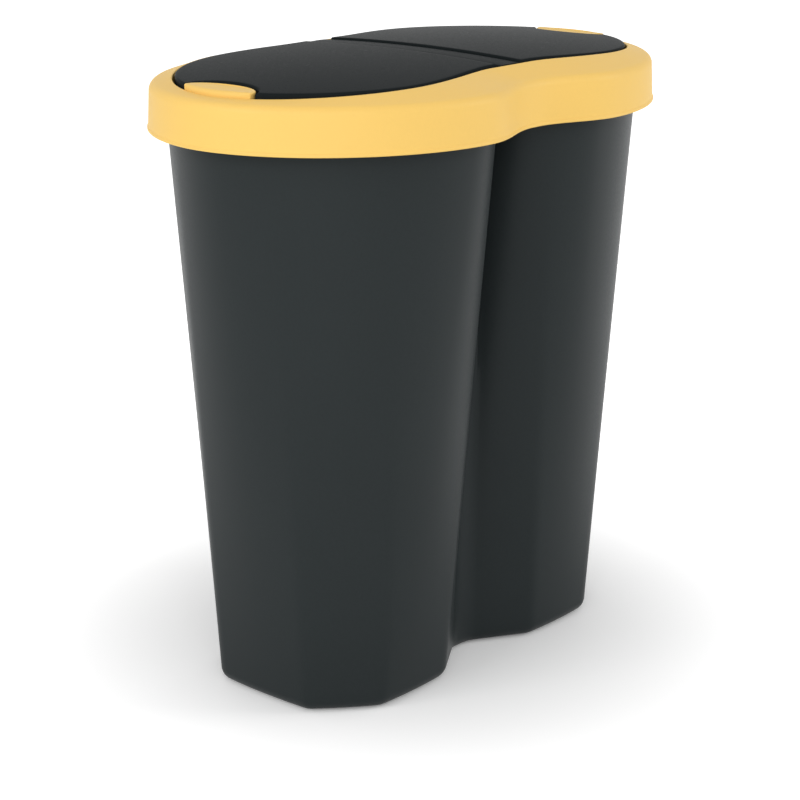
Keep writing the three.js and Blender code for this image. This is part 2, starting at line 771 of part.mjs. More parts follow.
// ---------------------------------------------------------------- bridge
function makeBridge() {
  const half = openingWaistHalf - bridgeEndGap;
  const topZ = (y) => crownSurface(0, y) - bridgeSetDown;
  const outlineYZ = (inner) => {
    const points = [];
    const reach = half - inner;
    for (let i = 0; i <= bridgeSteps; i += 1) {
      const y = mix(-reach, reach, i / bridgeSteps);
      points.push([y, topZ(y) - inner]);
    }
    return points;
  };
  const bar = (halfWidth, inner, bottomZ) => {
    const points = [...outlineYZ(inner), [half - inner, bottomZ], [inner - half, bottomZ]].reverse();
    const shape = new THREE.Shape(points.map(([y, z]) => new THREE.Vector2(y, z)));
    const geometry = new THREE.ExtrudeGeometry(shape, { depth: halfWidth * 2, bevelEnabled: false });
    geometry.applyMatrix4(new THREE.Matrix4().makeBasis(new THREE.Vector3(0, 1, 0),
      new THREE.Vector3(0, 0, 1), new THREE.Vector3(1, 0, 0)));
    geometry.translate(-halfWidth, 0, 0);
    return solidFrom(geometry);
  };
  const flangeBottomZ = openingWaistZ - bridgeFlangeDepth;
  const channel = bar(bridgeHalfWidth, 0, flangeBottomZ)
    .subtract(bar(bridgeHalfWidth - bridgeSkin, bridgeSkin, flangeBottomZ - 1));
  const footBottom = bridgeShelfZ + bridgeShelfThickness + seatGap;
  const feet = sides.map((side) => {
    const y0 = side * half;
    const y1 = side * (half - bridgeFootLength);
    return box(-bridgeHalfWidth + 1, bridgeHalfWidth - 1, Math.min(y0, y1), Math.max(y0, y1),
      footBottom, openingWaistZ - 1);
  });
  const cores = sides.map((side) => solidFrom(rodAlongZ(screwRadius + boreClearance, 0, side * screwY,
    footBottom - 1, bridgeShelfZ + screwLength + 1)));
  return joined([channel, ...feet]).subtract(joined(cores));
}

// ---------------------------------------------------------------- buckets
// A bucket follows the tub in flatter facets: every second point of the tub's outline.
function bucketOutline(z) {
  return tubOutline(z).filter((point, i) => i % 2 === 0);
}

// A lobe of the tub's inside, drawn in by a distance, between two heights.
function chamberSolid(side, z0, z1, distance, footRadius) {
  const shrunk = (z) => inset(bucketOutline(z), tubWall + distance);
  const body = solidFrom(loft([
    ringAt(inset(shrunk(z0), footRadius), z0),
    ringAt(inset(shrunk(z0), footRadius * (1 - Math.SQRT1_2)), z0 + footRadius * (1 - Math.SQRT1_2)),
    ringAt(shrunk(z0 + footRadius), z0 + footRadius),
    ringAt(shrunk(z1), z1),
  ]));
  return body.intersect(dividerSolid(side, z0 - 1, z1 + 1, distance));
}

// Everything on one side of the flat wall of a bucket, with the wall's two corners rounded.
function dividerSolid(side, z0, z1, distance) {
  const far = collarHalfLength;
  const ringOf = (z) => {
    const wallX = bucketCentreGap / 2 + distance - bucketClearance;
    const nearWaist = tubOutline(z).filter(([x]) => Math.abs(x) < tubFootWaistFlat + 1);
    const reach = Math.max(...nearWaist.map(([, y]) => y)) - tubWall - distance;
    const corner = [];
    for (let i = 0; i <= cornerSteps; i += 1) {
      const angle = (Math.PI / 2) * (i / cornerSteps);
      corner.push([wallX + bucketCornerRadius * (1 - Math.sin(angle)),
        reach - bucketCornerRadius * (1 - Math.cos(angle))]);
    }
    const upper = [[far, far], [wallX + bucketCornerRadius + dividerOverrun, far], ...corner];
    const lower = [...upper].reverse().map(([x, y]) => [x, -y]);
    const whole = [...upper, ...lower];
    return ringAt(side > 0 ? whole : mirrored(whole), z);
  };
  return solidFrom(loft([ringOf(z0), ringOf(z1)]));
}

function makeBucket(side) {
  const bottomZ = tubFootRingHeight + tubFloorThickness + seatGap;
  const wallInset = bucketClearance + bucketRimWidth;
  const outside = chamberSolid(side, bottomZ, bucketRimZ, wallInset, bucketFootRadius);
  const rim = chamberSolid(side, bucketRimZ - bucketRimThickness, bucketRimZ, bucketClearance,
    bucketRimEdge);
  const inside = chamberSolid(side, bottomZ + bucketWall, bucketRimZ + cutOverrun, wallInset + bucketWall,
    bucketFootRadius - bucketWall / 2);
  const holeTop = bucketRimZ - bucketHandHoleDrop;
  const wallX = side * (bucketCentreGap / 2 + wallInset - bucketClearance);
  const hole = box(wallX - bucketHandHoleCut, wallX + bucketHandHoleCut, -bucketHandHoleWidth / 2,
    bucketHandHoleWidth / 2, holeTop - bucketHandHoleHeight, holeTop);
  return outside.add(rim).subtract(inside).subtract(hole);
}

// ---------------------------------------------------------------- springs, rods and screws
class SpringCurve extends THREE.Curve {
  constructor(x, bottomZ, height) {
    super();
    this.x = x;
    this.bottomZ = bottomZ;
    this.height = height;
  }

  getPoint(share, target = new THREE.Vector3()) {
    const angle = share * springTurns * Math.PI * 2;
    return target.set(this.x + springRadius * Math.cos(angle), springRadius * Math.sin(angle),
      this.bottomZ + this.height * share);
  }
}

function springCurve(side) {
  const bottomZ = latchTrayFloorZ + latchTrayFloor + seatGap + springWireRadius;
  const topZ = padTopZ - padSkin - padDishDepth - seatGap - springWireRadius;
  return new SpringCurve(side * springX, bottomZ, topZ - bottomZ);
}

// Least gap between two turns of a spring, measured on points along its wire.
function leastSpringGap(curve) {
  const perTurn = 24;
  const points = curve.getPoints(springTurns * perTurn);
  let least = Infinity;
  points.forEach((point, i) => {
    points.slice(i + perTurn / 2).forEach((other) => {
      least = Math.min(least, point.distanceTo(other) - springWireRadius * 2);
    });
  });
  return least;
}

function makeSpring(side) {
  const curve = springCurve(side);
  const corners = [0, 1, 2, 3, 4].map((i) => (i * Math.PI * 2) / 5);
  const wire = new THREE.Shape(corners.map((angle) => new THREE.Vector2(
    springWireRadius * Math.cos(angle), springWireRadius * Math.sin(angle))));
  return new THREE.ExtrudeGeometry(wire, { steps: springTurns * 8, extrudePath: curve, bevelEnabled: false });
}

function makeScrew(side) {
  const headTop = bridgeShelfZ - seatGap;
  const profile = [
    [0, headTop - screwHeadHeight],
    [screwHeadRadius * 0.7, headTop - screwHeadHeight],
    [screwHeadRadius, headTop - screwHeadHeight * 0.5],
    [screwHeadRadius, headTop],
    [screwRadius, headTop],
    [screwRadius, bridgeShelfZ + screwLength - 1],
    [0, bridgeShelfZ + screwLength],
  ];
  const geometry = new THREE.LatheGeometry(profile.map(([r, z]) => new THREE.Vector2(r, z)), 12);
  geometry.rotateX(Math.PI / 2);
  geometry.translate(0, side * screwY, 0);
  return geometry;
}

// ---------------------------------------------------------------- assembly
console.log(`least gap between the turns of a spring: ${leastSpringGap(springCurve(1)).toFixed(2)} mm`);

const bin = new THREE.Group();

function place(name, geometry, material) {
  const mesh = new THREE.Mesh(geometry, material);
  mesh.name = name;
  bin.add(mesh);
}

place('twin_tub', geometryFrom(makeTub()), tubPlastic);
place('collar', geometryFrom(makeCollar()), collarPlastic);
place('centre_bridge', geometryFrom(makeBridge()), lidPlastic);
for (const side of sides) {
  const hand = side < 0 ? 'left' : 'right';
  place(`${hand}_lid`, geometryFrom(makeLid(side)), lidPlastic);
  place(`${hand}_hinge_rod`, rodAlongY(hingeRodRadius, side * hingeRodX, hingeRodZ,
    -hingeRodHalfLength, hingeRodHalfLength), steel);
  place(`${hand}_latch_pad`, geometryFrom(makePad(side)), collarPlastic);
  place(`${hand}_latch_spring`, makeSpring(side), steel);
  place(`${hand}_bucket`, geometryFrom(makeBucket(side)), bucketPlastic);
  place(`${side < 0 ? 'front' : 'rear'}_bridge_screw`, makeScrew(side), steel);
}

export default bin;
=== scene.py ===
import math

import bpy
import numpy as np
from bpy.props import FloatProperty, FloatVectorProperty, IntProperty, PointerProperty
from mathutils import Matrix, Vector


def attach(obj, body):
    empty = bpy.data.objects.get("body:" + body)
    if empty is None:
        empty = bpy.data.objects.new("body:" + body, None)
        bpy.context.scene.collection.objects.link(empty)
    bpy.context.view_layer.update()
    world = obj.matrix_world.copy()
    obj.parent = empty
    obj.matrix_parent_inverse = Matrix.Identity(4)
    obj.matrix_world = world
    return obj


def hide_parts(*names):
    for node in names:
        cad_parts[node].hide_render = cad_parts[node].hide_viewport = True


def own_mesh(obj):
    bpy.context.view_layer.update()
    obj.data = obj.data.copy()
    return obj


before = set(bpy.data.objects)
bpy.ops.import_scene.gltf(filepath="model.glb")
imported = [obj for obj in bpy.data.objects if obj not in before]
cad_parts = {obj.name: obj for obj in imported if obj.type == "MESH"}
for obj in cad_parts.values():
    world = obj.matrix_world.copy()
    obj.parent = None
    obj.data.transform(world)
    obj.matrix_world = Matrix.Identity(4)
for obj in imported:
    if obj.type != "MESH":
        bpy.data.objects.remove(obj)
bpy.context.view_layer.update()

bl_info = {
    "name": "Twin Recycling Bin",
    "version": (1, 0, 0),
    "blender": (4, 5, 0),
    "location": "View3D > Sidebar > Twin Bin",
    "description": "Builds the mouldings, steel parts and studio of a two-chamber recycling bin",
    "category": "Object",
}

HANDS = {"left": -1, "right": 1}
MM = 0.001
EDGE = 0.0004          # rounding of a moulding's thin edges
PLAY = 0.0003          # running clearance of rods, screws and springs
NOTCH_CORNER = 0.0014  # rounding where a pad's curve meets the opening's edge
TRAY_WALL = 0.0024     # thickness of a latch tray


# ---------------------------------------------------------------- sizes and colours
def length(name, default, description):
    """A length property in metres."""
    return FloatProperty(name=name, description=description, default=default, unit="LENGTH", precision=4)


def number(name, default, description):
    return FloatProperty(name=name, description=description, default=default)


def colour(name, default, description):
    return FloatVectorProperty(name=name, description=description, default=default, size=3,
                               subtype="COLOR", min=0, max=1)


class CollarSizes(bpy.types.PropertyGroup):
    half_length: length("Half Length", 0.265, "Centre of the bin to the collar's end")
    half_depth: length("Half Depth", 0.1645, "Centre of the bin to the collar's side")
    waist_half: length("Waist Half", 0.142, "Centre of the bin to the collar at its waist")
    lobe_centre: length("Lobe Centre", 0.087, "Where a lobe is widest")
    power: number("Power", 1.9, "Fullness of the lobes, 2 is an ellipse")
    ease: number("Ease", 0.95, "How early the side draws in towards the waist")
    flat: length("Flat", 0.004, "Half of the straight stretch at the waist")
    bottom: length("Bottom", 0.5035, "Height of the lower edge")
    shoulder: length("Shoulder", 0.544, "Height of the ledge where it leaves the wall")
    shoulder_radius: length("Shoulder Radius", 0.008, "Rounding between wall and ledge")
    draft: length("Draft", 0.0014, "How far the wall leans in over its height")
    bead: length("Bead", 0.0008, "How far the lower edge stands out")
    bead_height: length("Bead Height", 0.0025, "Height of the lower edge's bead")
    wall: length("Wall", 0.003, "Thickness of the wall")
    ledge: length("Ledge Thickness", 0.0026, "Thickness of the ledge")
    gussets: IntProperty(name="Gussets", description="Ribs under the ledge", default=16, min=4)


class OpeningSizes(bpy.types.PropertyGroup):
    half_length: length("Half Length", 0.247, "Centre of the bin to the opening's end")
    half_depth: length("Half Depth", 0.125, "Centre of the bin to the opening's side")
    waist_half: length("Waist Half", 0.1135, "Centre of the bin to the opening at its waist")
    lobe_centre: length("Lobe Centre", 0.118, "Where the opening is widest")
    power: number("Power", 1.85, "Fullness of the lobes, 2 is an ellipse")
    ease: number("Ease", 0.8, "How early the side draws in towards the waist")
    flat: length("Flat", 0.03, "Half of the straight stretch at the waist")
    waist_height: length("Waist Height", 0.554, "Height of the edge at the waist")
    end_drop: length("End Drop", 0.009, "How much lower the edge lies at the ends")
    lip_depth: length("Lip Depth", 0.015, "Depth of the turned-down lip")
    lip_wall: length("Lip Wall", 0.0024, "Thickness of the lip")
    edge_radius: length("Edge Radius", 0.001, "Rounding of the edge")


class TubSizes(bpy.types.PropertyGroup):
    top_inset: length("Top Inset", 0.0173, "Tub wall behind the collar's wall")
    rim: length("Rim Height", 0.528, "Height of the rolled rim")
    rim_width: length("Rim Width", 0.011, "Width of the rolled rim")
    rim_turn: length("Rim Turn", 0.007, "How far the rim turns down")
    wall: length("Wall", 0.0028, "Thickness of the wall")
    foot_length: length("Foot Half Length", 0.2006, "Centre to the end of the foot")
    foot_end: length("Foot End", 0.052, "Half width of the foot's end side")
    corner_outer: length("Outer Corner", 0.148, "Foot corner nearer the end")
    corner_inner: length("Inner Corner", 0.0637, "Foot corner nearer the waist")
    foot_depth: length("Foot Half Depth", 0.0989, "Centre to the side of the foot")
    waist_half: length("Waist Half", 0.0652, "Centre to the foot at its waist")
    waist_flat: length("Waist Flat", 0.0109, "Half of the straight stretch at the waist")
    valley_half: length("Valley Half Depth", 0.070, "Centre to the bottom of the valley, under the collar")
    bulge: number("Bulge", 0.024, "How far each side bows out, as a share of its length")
    foot_radius: length("Foot Radius", 0.0127, "Rounding of the foot")
    crease_end: length("End Crease", 0.058, "Where the end crease runs out under the collar")
    crease_outer: length("Outer Crease", 0.158, "Where the outer crease runs out")
    crease_inner: length("Inner Crease", 0.039, "Where the inner crease runs out")
    crease_round: length("Crease Rounding", 0.0036, "How soft the creases are")


class LidSizes(bpy.types.PropertyGroup):
    crown: length("Crown", 0.559, "Highest point of the crown")
    end_drop: length("End Drop", 0.011, "Fall of the crown towards the ends")
    side_drop: length("Side Drop", 0.004, "Fall of the crown towards the sides")
    skin: length("Skin", 0.0024, "Thickness of the moulding")
    gap: length("Gap", 0.002, "Gap round the lid")
    edge_radius: length("Edge Radius", 0.002, "Rounding of the edge")
    skirt: length("Skirt", 0.012, "Depth of the skirt")
    inner_bottom: length("Inner Bottom", 0.543, "Lower edge of the skirt beside the bridge")
    inner_edge: length("Inner Edge", 0.0162, "Centre of the bin to the lid's straight side")
    rib_thickness: length("Rib Thickness", 0.0016, "Thickness of the ribs under the lid")
    rib_depth: length("Rib Depth", 0.005, "Depth of the ribs under the lid")
    rib_reach: length("Rib Reach", 0.168, "Centre of the bin to the ribs' outer ends")


class BridgeSizes(bpy.types.PropertyGroup):
    half_width: length("Half Width", 0.0134, "Half of the bridge's width")
    set_down: length("Set Down", 0.0015, "How far it lies below the lids' crown")
    bottom: length("Bottom", 0.539, "Lower edge of its sides")
    end_gap: length("End Gap", 0.0008, "Gap to the collar at each end")
    shelf: length("Shelf", 0.531, "Underside of the shelf that carries it")
    shelf_thickness: length("Shelf Thickness", 0.003, "Thickness of that shelf")
    foot: length("Foot", 0.013, "Length of each foot")


class LatchSizes(bpy.types.PropertyGroup):
    half_width: length("Half Width", 0.038, "Half of the pad's width")
    chord: length("Chord", 0.237689, "Centre of the bin to the pad's corners")
    reach: length("Reach", 0.021, "How far the pad reaches into the lid")
    rise: length("Rise", 0.0046, "Pad top above the opening's edge")
    skin: length("Skin", 0.0022, "Thickness of the pad")
    seam: length("Seam", 0.0005, "Gap to the collar's lip")
    dish: length("Dish", 0.0012, "Depth of the thumb hollow")
    edge_radius: length("Edge Radius", 0.0012, "Rounding of the inner edge")
    heel_radius: length("Heel Radius", 0.0034, "Rounding of the outer edge")
    notch_gap: length("Notch Gap", 0.002, "Gap between pad and lid")
    pivot_height: length("Pivot Height", 0.5385, "Height of the pivots")
    pivot_setback: length("Pivot Setback", 0.002, "Pivots behind the pad's corners")
    tray_floor: length("Tray Floor", 0.5286, "Underside of the tray")
    tray_rim: length("Tray Rim", 0.542, "Top of the tray's cheeks")
    tray_gap: length("Tray Gap", 0.0015, "Gap between the tray and the lid")


class HardwareSizes(bpy.types.PropertyGroup):
    rod_x: length("Rod Offset", 0.0276, "Centre of the bin to a hinge rod")
    rod_z: length("Rod Height", 0.55, "Height of the hinge rods")
    rod_radius: length("Rod Radius", 0.002, "Radius of a hinge rod")
    rod_half: length("Rod Half Length", 0.1157, "Half of a rod's length")
    knuckle_radius: length("Knuckle Radius", 0.0043, "Radius of a hinge knuckle")
    knuckle_length: length("Knuckle Length", 0.022, "Length of a hinge knuckle")
    knuckle_spacing: length("Knuckle Spacing", 0.083, "Distance between knuckles")
    spring_radius: length("Spring Radius", 0.0042, "Radius of a latch spring")
    spring_wire: length("Spring Wire", 0.0009, "Radius of the spring's wire")
    spring_turns: number("Spring Turns", 5, "Turns of a latch spring")
    spring_setback: length("Spring Setback", 0.012, "Spring behind the pad's corners")
    screw_y: length("Screw Offset", 0.1062, "Centre of the bin to a bridge screw")


class BucketSizes(bpy.types.PropertyGroup):
    clearance: length("Clearance", 0.0035, "Gap to the tub")
    rim_width: length("Rim Width", 0.005, "Width of the rim")
    rim: length("Rim Height", 0.506, "Height of the rim")
    wall: length("Wall", 0.002, "Thickness of the wall")
    bottom: length("Bottom", 0.0103, "Height of the floor's underside")
    centre_gap: length("Centre Gap", 0.005, "Gap between the two buckets")
    hole_width: length("Hand Hole Width", 0.084, "Width of the hand hole")
    hole_height: length("Hand Hole Height", 0.022, "Height of the hand hole")
    hole_drop: length("Hand Hole Drop", 0.016, "Hand hole below the rim")


class FinishColours(bpy.types.PropertyGroup):
    tub: colour("Tub", (0.0205, 0.0255, 0.0265), "Anthracite of the tub")
    lid: colour("Lid", (0.0128, 0.0158, 0.0166), "Anthracite of the lids and bridge")
    collar: colour("Collar", (0.88, 0.57, 0.145), "Warm yellow of the collar and pads")
    bucket: colour("Bucket", (0.07, 0.078, 0.081), "Mid grey of the buckets")
    steel: colour("Steel", (0.62, 0.63, 0.64), "Zinc-plated steel")


class StudioSettings(bpy.types.PropertyGroup):
    azimuth: number("Camera Azimuth", -48.937, "Camera's bearing round the bin, in degrees")
    elevation: number("Camera Elevation", 17.201, "Camera's height above the horizon, in degrees")
    distance: length("Camera Distance", 1.9861, "Camera to the middle of the bin")
    lens: number("Lens", 96.39, "Focal length in millimetres on a 36 mm sensor")
    shift_right: length("Aim Right", -0.00895, "Aim point beside the bin's axis, to the camera's right")
    shift_up: length("Aim Up", -0.0176, "Aim point above the aim height")
    aim_height: length("Aim Height", 0.25, "Height that the camera aims at, before it is shifted")
    floor: colour("Floor", (0.97, 0.97, 0.97), "Colour of the floor")
    floor_near: length("Shadow Ground", 0.12, "Floor that shows its shadow, from the bin's axis")
    floor_far: length("Fade Out", 0.6, "Where the floor has turned into the white background")
    ambient: number("Ambient", 0.6, "Strength of the light from all round")


def settings(*names):
    """The scene's property groups with these names."""
    return [getattr(bpy.context.scene, f"bin_{name}") for name in names]


# ---------------------------------------------------------------- outlines
def quarter(size, lobe_steps=40, waist_steps=30):
    """A quarter of a two-lobed outline, from the end of the bin to its waist."""
    angle = np.linspace(0, math.pi / 2, lobe_steps + 1)
    reach = size.half_length - size.lobe_centre
    lobe_x = size.lobe_centre + reach * np.cos(angle).clip(0) ** (2 / size.power)
    lobe_y = size.half_depth * np.sin(angle) ** (2 / size.power)
    share = np.linspace(1, 0, waist_steps + 1)[1:]
    rise = 0.5 - 0.5 * np.cos(math.pi * share ** size.ease)
    waist_x = size.flat + (size.lobe_centre - size.flat) * share
    waist_y = size.waist_half + (size.half_depth - size.waist_half) * rise
    return np.stack([np.r_[lobe_x, waist_x], np.r_[lobe_y, waist_y]], 1)


def whole(part):
    """Mirrors a quarter outline into the closed loop, counter-clockwise from the +X end."""
    back = part[::-1]
    return np.concatenate([part, back * (-1, 1), part[1:] * (-1, -1), back[:-1] * (1, -1)])


def circle(sides):
    angle = np.linspace(0, 2 * math.pi, sides, endpoint=False)
    return np.stack([np.cos(angle), np.sin(angle)], 1)


def inset(outline, distance):
    """Moves every point of a closed outline inwards, square to its sides."""
    before = outline - np.roll(outline, 1, 0)
    after = np.roll(before, -1, 0)
    before = before / np.linalg.norm(before, axis=1, keepdims=True)
    after = after / np.linalg.norm(after, axis=1, keepdims=True)
    bisector = np.stack([-before[:, 1] - after[:, 1], before[:, 0] + after[:, 0]], 1)
    bisector = bisector / np.linalg.norm(bisector, axis=1, keepdims=True)
    square = -before[:, 1] * bisector[:, 0] + before[:, 0] * bisector[:, 1]
    return outline + bisector * (distance / np.maximum(square, 0.5))[:, None]


def towards(middle, outline, shares):
    """The outline drawn together towards its middle, once for each share."""
    return [middle + (outline - middle) * share for share in shares]


def resampled(outline, count):
    """The closed outline again, with points at even steps along it."""
    loop = np.concatenate([outline, outline[:1]])
    travelled = np.r_[0, np.cumsum(np.linalg.norm(np.diff(loop, axis=0), axis=1))]
    places = np.linspace(0, travelled[-1], count + 1)[:-1]
    return np.stack([np.interp(places, travelled, loop[:, k]) for k in (0, 1)], 1)


def softened(outline, radius):
    """Rounds the corners of an outline of evenly spaced points, by averaging each with its neighbours."""
    step = np.linalg.norm(outline - np.roll(outline, 1, 0), axis=1).mean()
    reach = max(1, int(round(2.5 * radius / step)))
    offsets = np.arange(-reach, reach + 1)
    weights = np.exp(-0.5 * (offsets * step / radius) ** 2)
    rolled = [np.roll(outline, -k, 0) * w for k, w in zip(offsets, weights)]
    return sum(rolled) / weights.sum()


def opening_height(x):
    size = bpy.context.scene.bin_opening
    return size.waist_height - size.end_drop * (x / size.half_length) ** 2


def opening_end(y):
    """How far the opening reaches along X, at a distance from the bin's long axis."""
    size = bpy.context.scene.bin_opening
    share = 1 - (np.abs(y) / size.half_depth) ** size.power
    return size.lobe_centre + (size.half_length - size.lobe_centre) * share ** (1 / size.power)


def crown_height(x, y):
    lid, collar, opening = settings("lid", "collar", "opening")
    along, across = (x / collar.half_length) ** 2, (y / opening.half_depth) ** 2
    return lid.crown - lid.end_drop * along - lid.side_drop * across


# ---------------------------------------------------------------- rings
def ring(outline, height):
    """An outline at one height, or at a height for each of its points."""
    return np.c_[outline, np.broadcast_to(height, len(outline))]


def arc(steps):
    """1 - cosine and 1 - sine at even steps through a quarter turn, for rounded edges."""
    return [(1 - math.cos(a), 1 - math.sin(a)) for a in np.linspace(0, math.pi / 2, steps)]


def rounded_over(outline, radius, top, steps):
    """Rings that turn an upright side over into a top."""
    return [ring(inset(outline, radius * inward), top - radius * down) for inward, down in arc(steps)]


def foot_rings(outline_at, bottom, radius, drawn_in, steps):
    """Rings that turn a floor up into a wall, whose outline is given for each height."""
    levels = [(bottom + radius * up, drawn_in + radius * inward) for up, inward in arc(steps + 1)]
    return [ring(inset(outline_at(z), distance), z) for z, distance in levels]


# ---------------------------------------------------------------- meshes
def new_object(name, verts, faces, edges=()):
    mesh = bpy.data.meshes.new(name)
    mesh.from_pydata(np.asarray(verts, float).tolist(), edges, faces)
    obj = bpy.data.objects.new(name, mesh)
    bpy.context.scene.collection.objects.link(obj)
    return obj


def skin(rings, closed=False, first_pole=None, last_pole=None):
    """Vertices and faces through a stack of rings with as many points each.
    A closed stack joins its last ring to its first, and a pole closes an end with a fan."""
    count, verts, faces = len(rings[0]), np.concatenate(rings), []
    order = np.arange(count)
    after = (order + 1) % count
    for band in range(len(rings) if closed else len(rings) - 1):
        low, high = band * count, ((band + 1) % len(rings)) * count
        faces += np.stack([low + order, low + after, high + after, high + order], 1).tolist()
    for pole, start, outward in ((first_pole, 0, -1), (last_pole, (len(rings) - 1) * count, 1)):
        if pole is None:
            continue
        tip = np.full(count, len(verts))
        verts = np.concatenate([verts, [pole]])
        fan = (start + order, start + after, tip) if outward > 0 else (start + after, start + order, tip)
        faces += np.stack(fan, 1).tolist()
    return verts, faces


def solid(name, rings, first_pole, last_pole):
    """A piece through a stack of rings, closed by a fan at each end."""
    return new_object(name, *skin(rings, first_pole=first_pole, last_pole=last_pole))


def prism(name, outline, low, high):
    """An upright solid over an outline; the fans meet at the outline's middle."""
    middle = outline.mean(0)
    return solid(name, [ring(outline, low), ring(outline, high)], (*middle, low), (*middle, high))


def pin(name, radius, start, end, x, z, sides=40, chamfer=0.0):
    """A round pin along Y."""
    profile = [(radius, start), (radius, end)]
    if chamfer:
        profile = [(radius - chamfer, start), (radius, start + chamfer),
                   (radius, end - chamfer), (radius - chamfer, end)]
    rings = [ring(circle(sides) * size, y)[:, (1, 2, 0)] + (x, 0, z) for size, y in profile]
    return solid(name, rings, (x, start, z), (x, end, z))


def block(x, half, y0, y1, z0, z1, bevel=0.0, segments=3):
    """A box centred on x, with rounded edges where a bevel is given."""
    corners = [(u, v, w) for w in (z0, z1) for v in sorted((y0, y1)) for u in (x - half, x + half)]
    faces = [(0, 2, 3, 1), (4, 5, 7, 6), (0, 1, 5, 4), (1, 3, 7, 5), (3, 2, 6, 7), (2, 0, 4, 6)]
    obj = new_object("block", corners, faces)
    if bevel:
        modifier = obj.modifiers.new("Edges", "BEVEL")
        modifier.width, modifier.segments = bevel, segments
        realised(obj)
    return obj


def shade(obj, angle=32):
    obj.data.shade_smooth()
    obj.data.set_sharp_from_angle(angle=math.radians(angle))
    return obj


def realised(obj):
    """Turns the evaluated object into a plain mesh and drops its modifiers."""
    depsgraph = bpy.context.evaluated_depsgraph_get()
    mesh = bpy.data.meshes.new_from_object(obj.evaluated_get(depsgraph), depsgraph=depsgraph)
    obj.modifiers.clear()
    old, obj.data = obj.data, mesh
    bpy.data.meshes.remove(old)
    mesh.name = obj.name
    return obj


def carved(obj, joined=(), cut=()):
    """Joins solids to a piece, cuts others out of it, and removes them."""
    for operation, tools in (("UNION", joined), ("DIFFERENCE", cut)):
        for tool in tools:
            modifier = obj.modifiers.new("Carve", "BOOLEAN")
            modifier.operation, modifier.solver, modifier.object = operation, "EXACT", tool
    realised(obj)
    for mesh in [tool.data for tool in (*joined, *cut)]:
        bpy.data.meshes.remove(mesh)
    return obj


def mirrored(obj, name):
    """A copy of the piece on the other side of the bin."""
    twin = bpy.data.objects.new(name, obj.data.copy())
    twin.data.name = name
    twin.data.transform(Matrix.Scale(-1, 4, (1, 0, 0)))
    twin.data.flip_normals()
    bpy.context.scene.collection.objects.link(twin)
    return twin


def both_sides(piece):
    """Joins a piece to its mirror image."""
    pair = [piece, mirrored(piece, "twin")]
    with bpy.context.temp_override(active_object=piece, selected_objects=pair,
                                   selected_editable_objects=pair):
        bpy.ops.object.join()
    return piece


def finished(slot):
    """The finish of a slot."""
    return bpy.data.materials[f"{slot}_finish"]


def dress(obj, body, slot, *nodes):
    """Gives a finished piece its finish and its body, and hides the CAD nodes that it stands for."""
    obj.data.materials.clear()
    obj.data.materials.append(finished(slot))
    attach(obj, body)
    if nodes:
        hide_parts(*nodes)
    return obj


def dress_pair(right, body, slot, node):
    """Dresses a right-hand piece and its mirror image; {} in the body and node stands for the hand."""
    left = mirrored(right, right.name.replace("right", "left"))
    pair = {"right": right, "left": left}
    for hand, piece in pair.items():
        dress(piece, body.format(hand), slot, node.format(hand))
    return pair


# ---------------------------------------------------------------- node trees
def add(tree, kind, links=None, **options):
    """Adds a node, sets its options, and links or sets its inputs.
    A node that is given as a value lends its first output."""
    node = tree.nodes.new(kind)
    for key, value in options.items():
        setattr(node, key, value)
    for key, value in (links or {}).items():
        if isinstance(value, bpy.types.Node):
            value = value.outputs[0]
        if isinstance(value, bpy.types.NodeSocket):
            tree.links.new(value, node.inputs[key])
        else:
            node.inputs[key].default_value = value
    return node


def reckon(tree, operation, a, b):
    return add(tree, "ShaderNodeMath", {0: a, 1: b}, operation=operation)


def emptied(owner):
    """The node tree of a material or world, without its nodes."""
    owner.use_nodes = True
    owner.node_tree.nodes.clear()
    return owner.node_tree


def new_tree(make, inputs):
    """A geometry tree named like the function that makes it, with its inputs, and those inputs' sockets."""
    tree = bpy.data.node_groups.new(make.__name__, "GeometryNodeTree")
    tree.interface.new_socket("Geometry", in_out="INPUT", socket_type="NodeSocketGeometry")
    tree.interface.new_socket("Geometry", in_out="OUTPUT", socket_type="NodeSocketGeometry")
    for label in inputs:
        kind = "Int" if label == "Count" else "Float"
        tree.interface.new_socket(label, in_out="INPUT", socket_type=f"NodeSocket{kind}")
    tree.interface.new_socket("Material", in_out="INPUT", socket_type="NodeSocketMaterial")
    return tree, add(tree, "NodeGroupInput").outputs


def end_tree(tree, geometry, given):
    """Ends a tree in Realize Instances and Set Material."""
    plain = add(tree, "GeometryNodeRealizeInstances", {"Geometry": geometry})
    coated = add(tree, "GeometryNodeSetMaterial", {"Geometry": plain, "Material": given["Material"]})
    add(tree, "NodeGroupOutput", {0: coated})
    return tree


def run_tree(obj, make, slot, **values):
    """Runs a geometry tree on an object with the given inputs and keeps the result as a plain mesh."""
    tree = bpy.data.node_groups.get(make.__name__) or make()
    modifier = obj.modifiers.new(tree.name, "NODES")
    modifier.node_group = tree
    values["Material"] = finished(slot)
    for socket in tree.interface.items_tree:
        key = socket.name.replace(" ", "_")
        if socket.in_out == "INPUT" and key in values:
            modifier[socket.identifier] = values[key]
    return realised(obj)


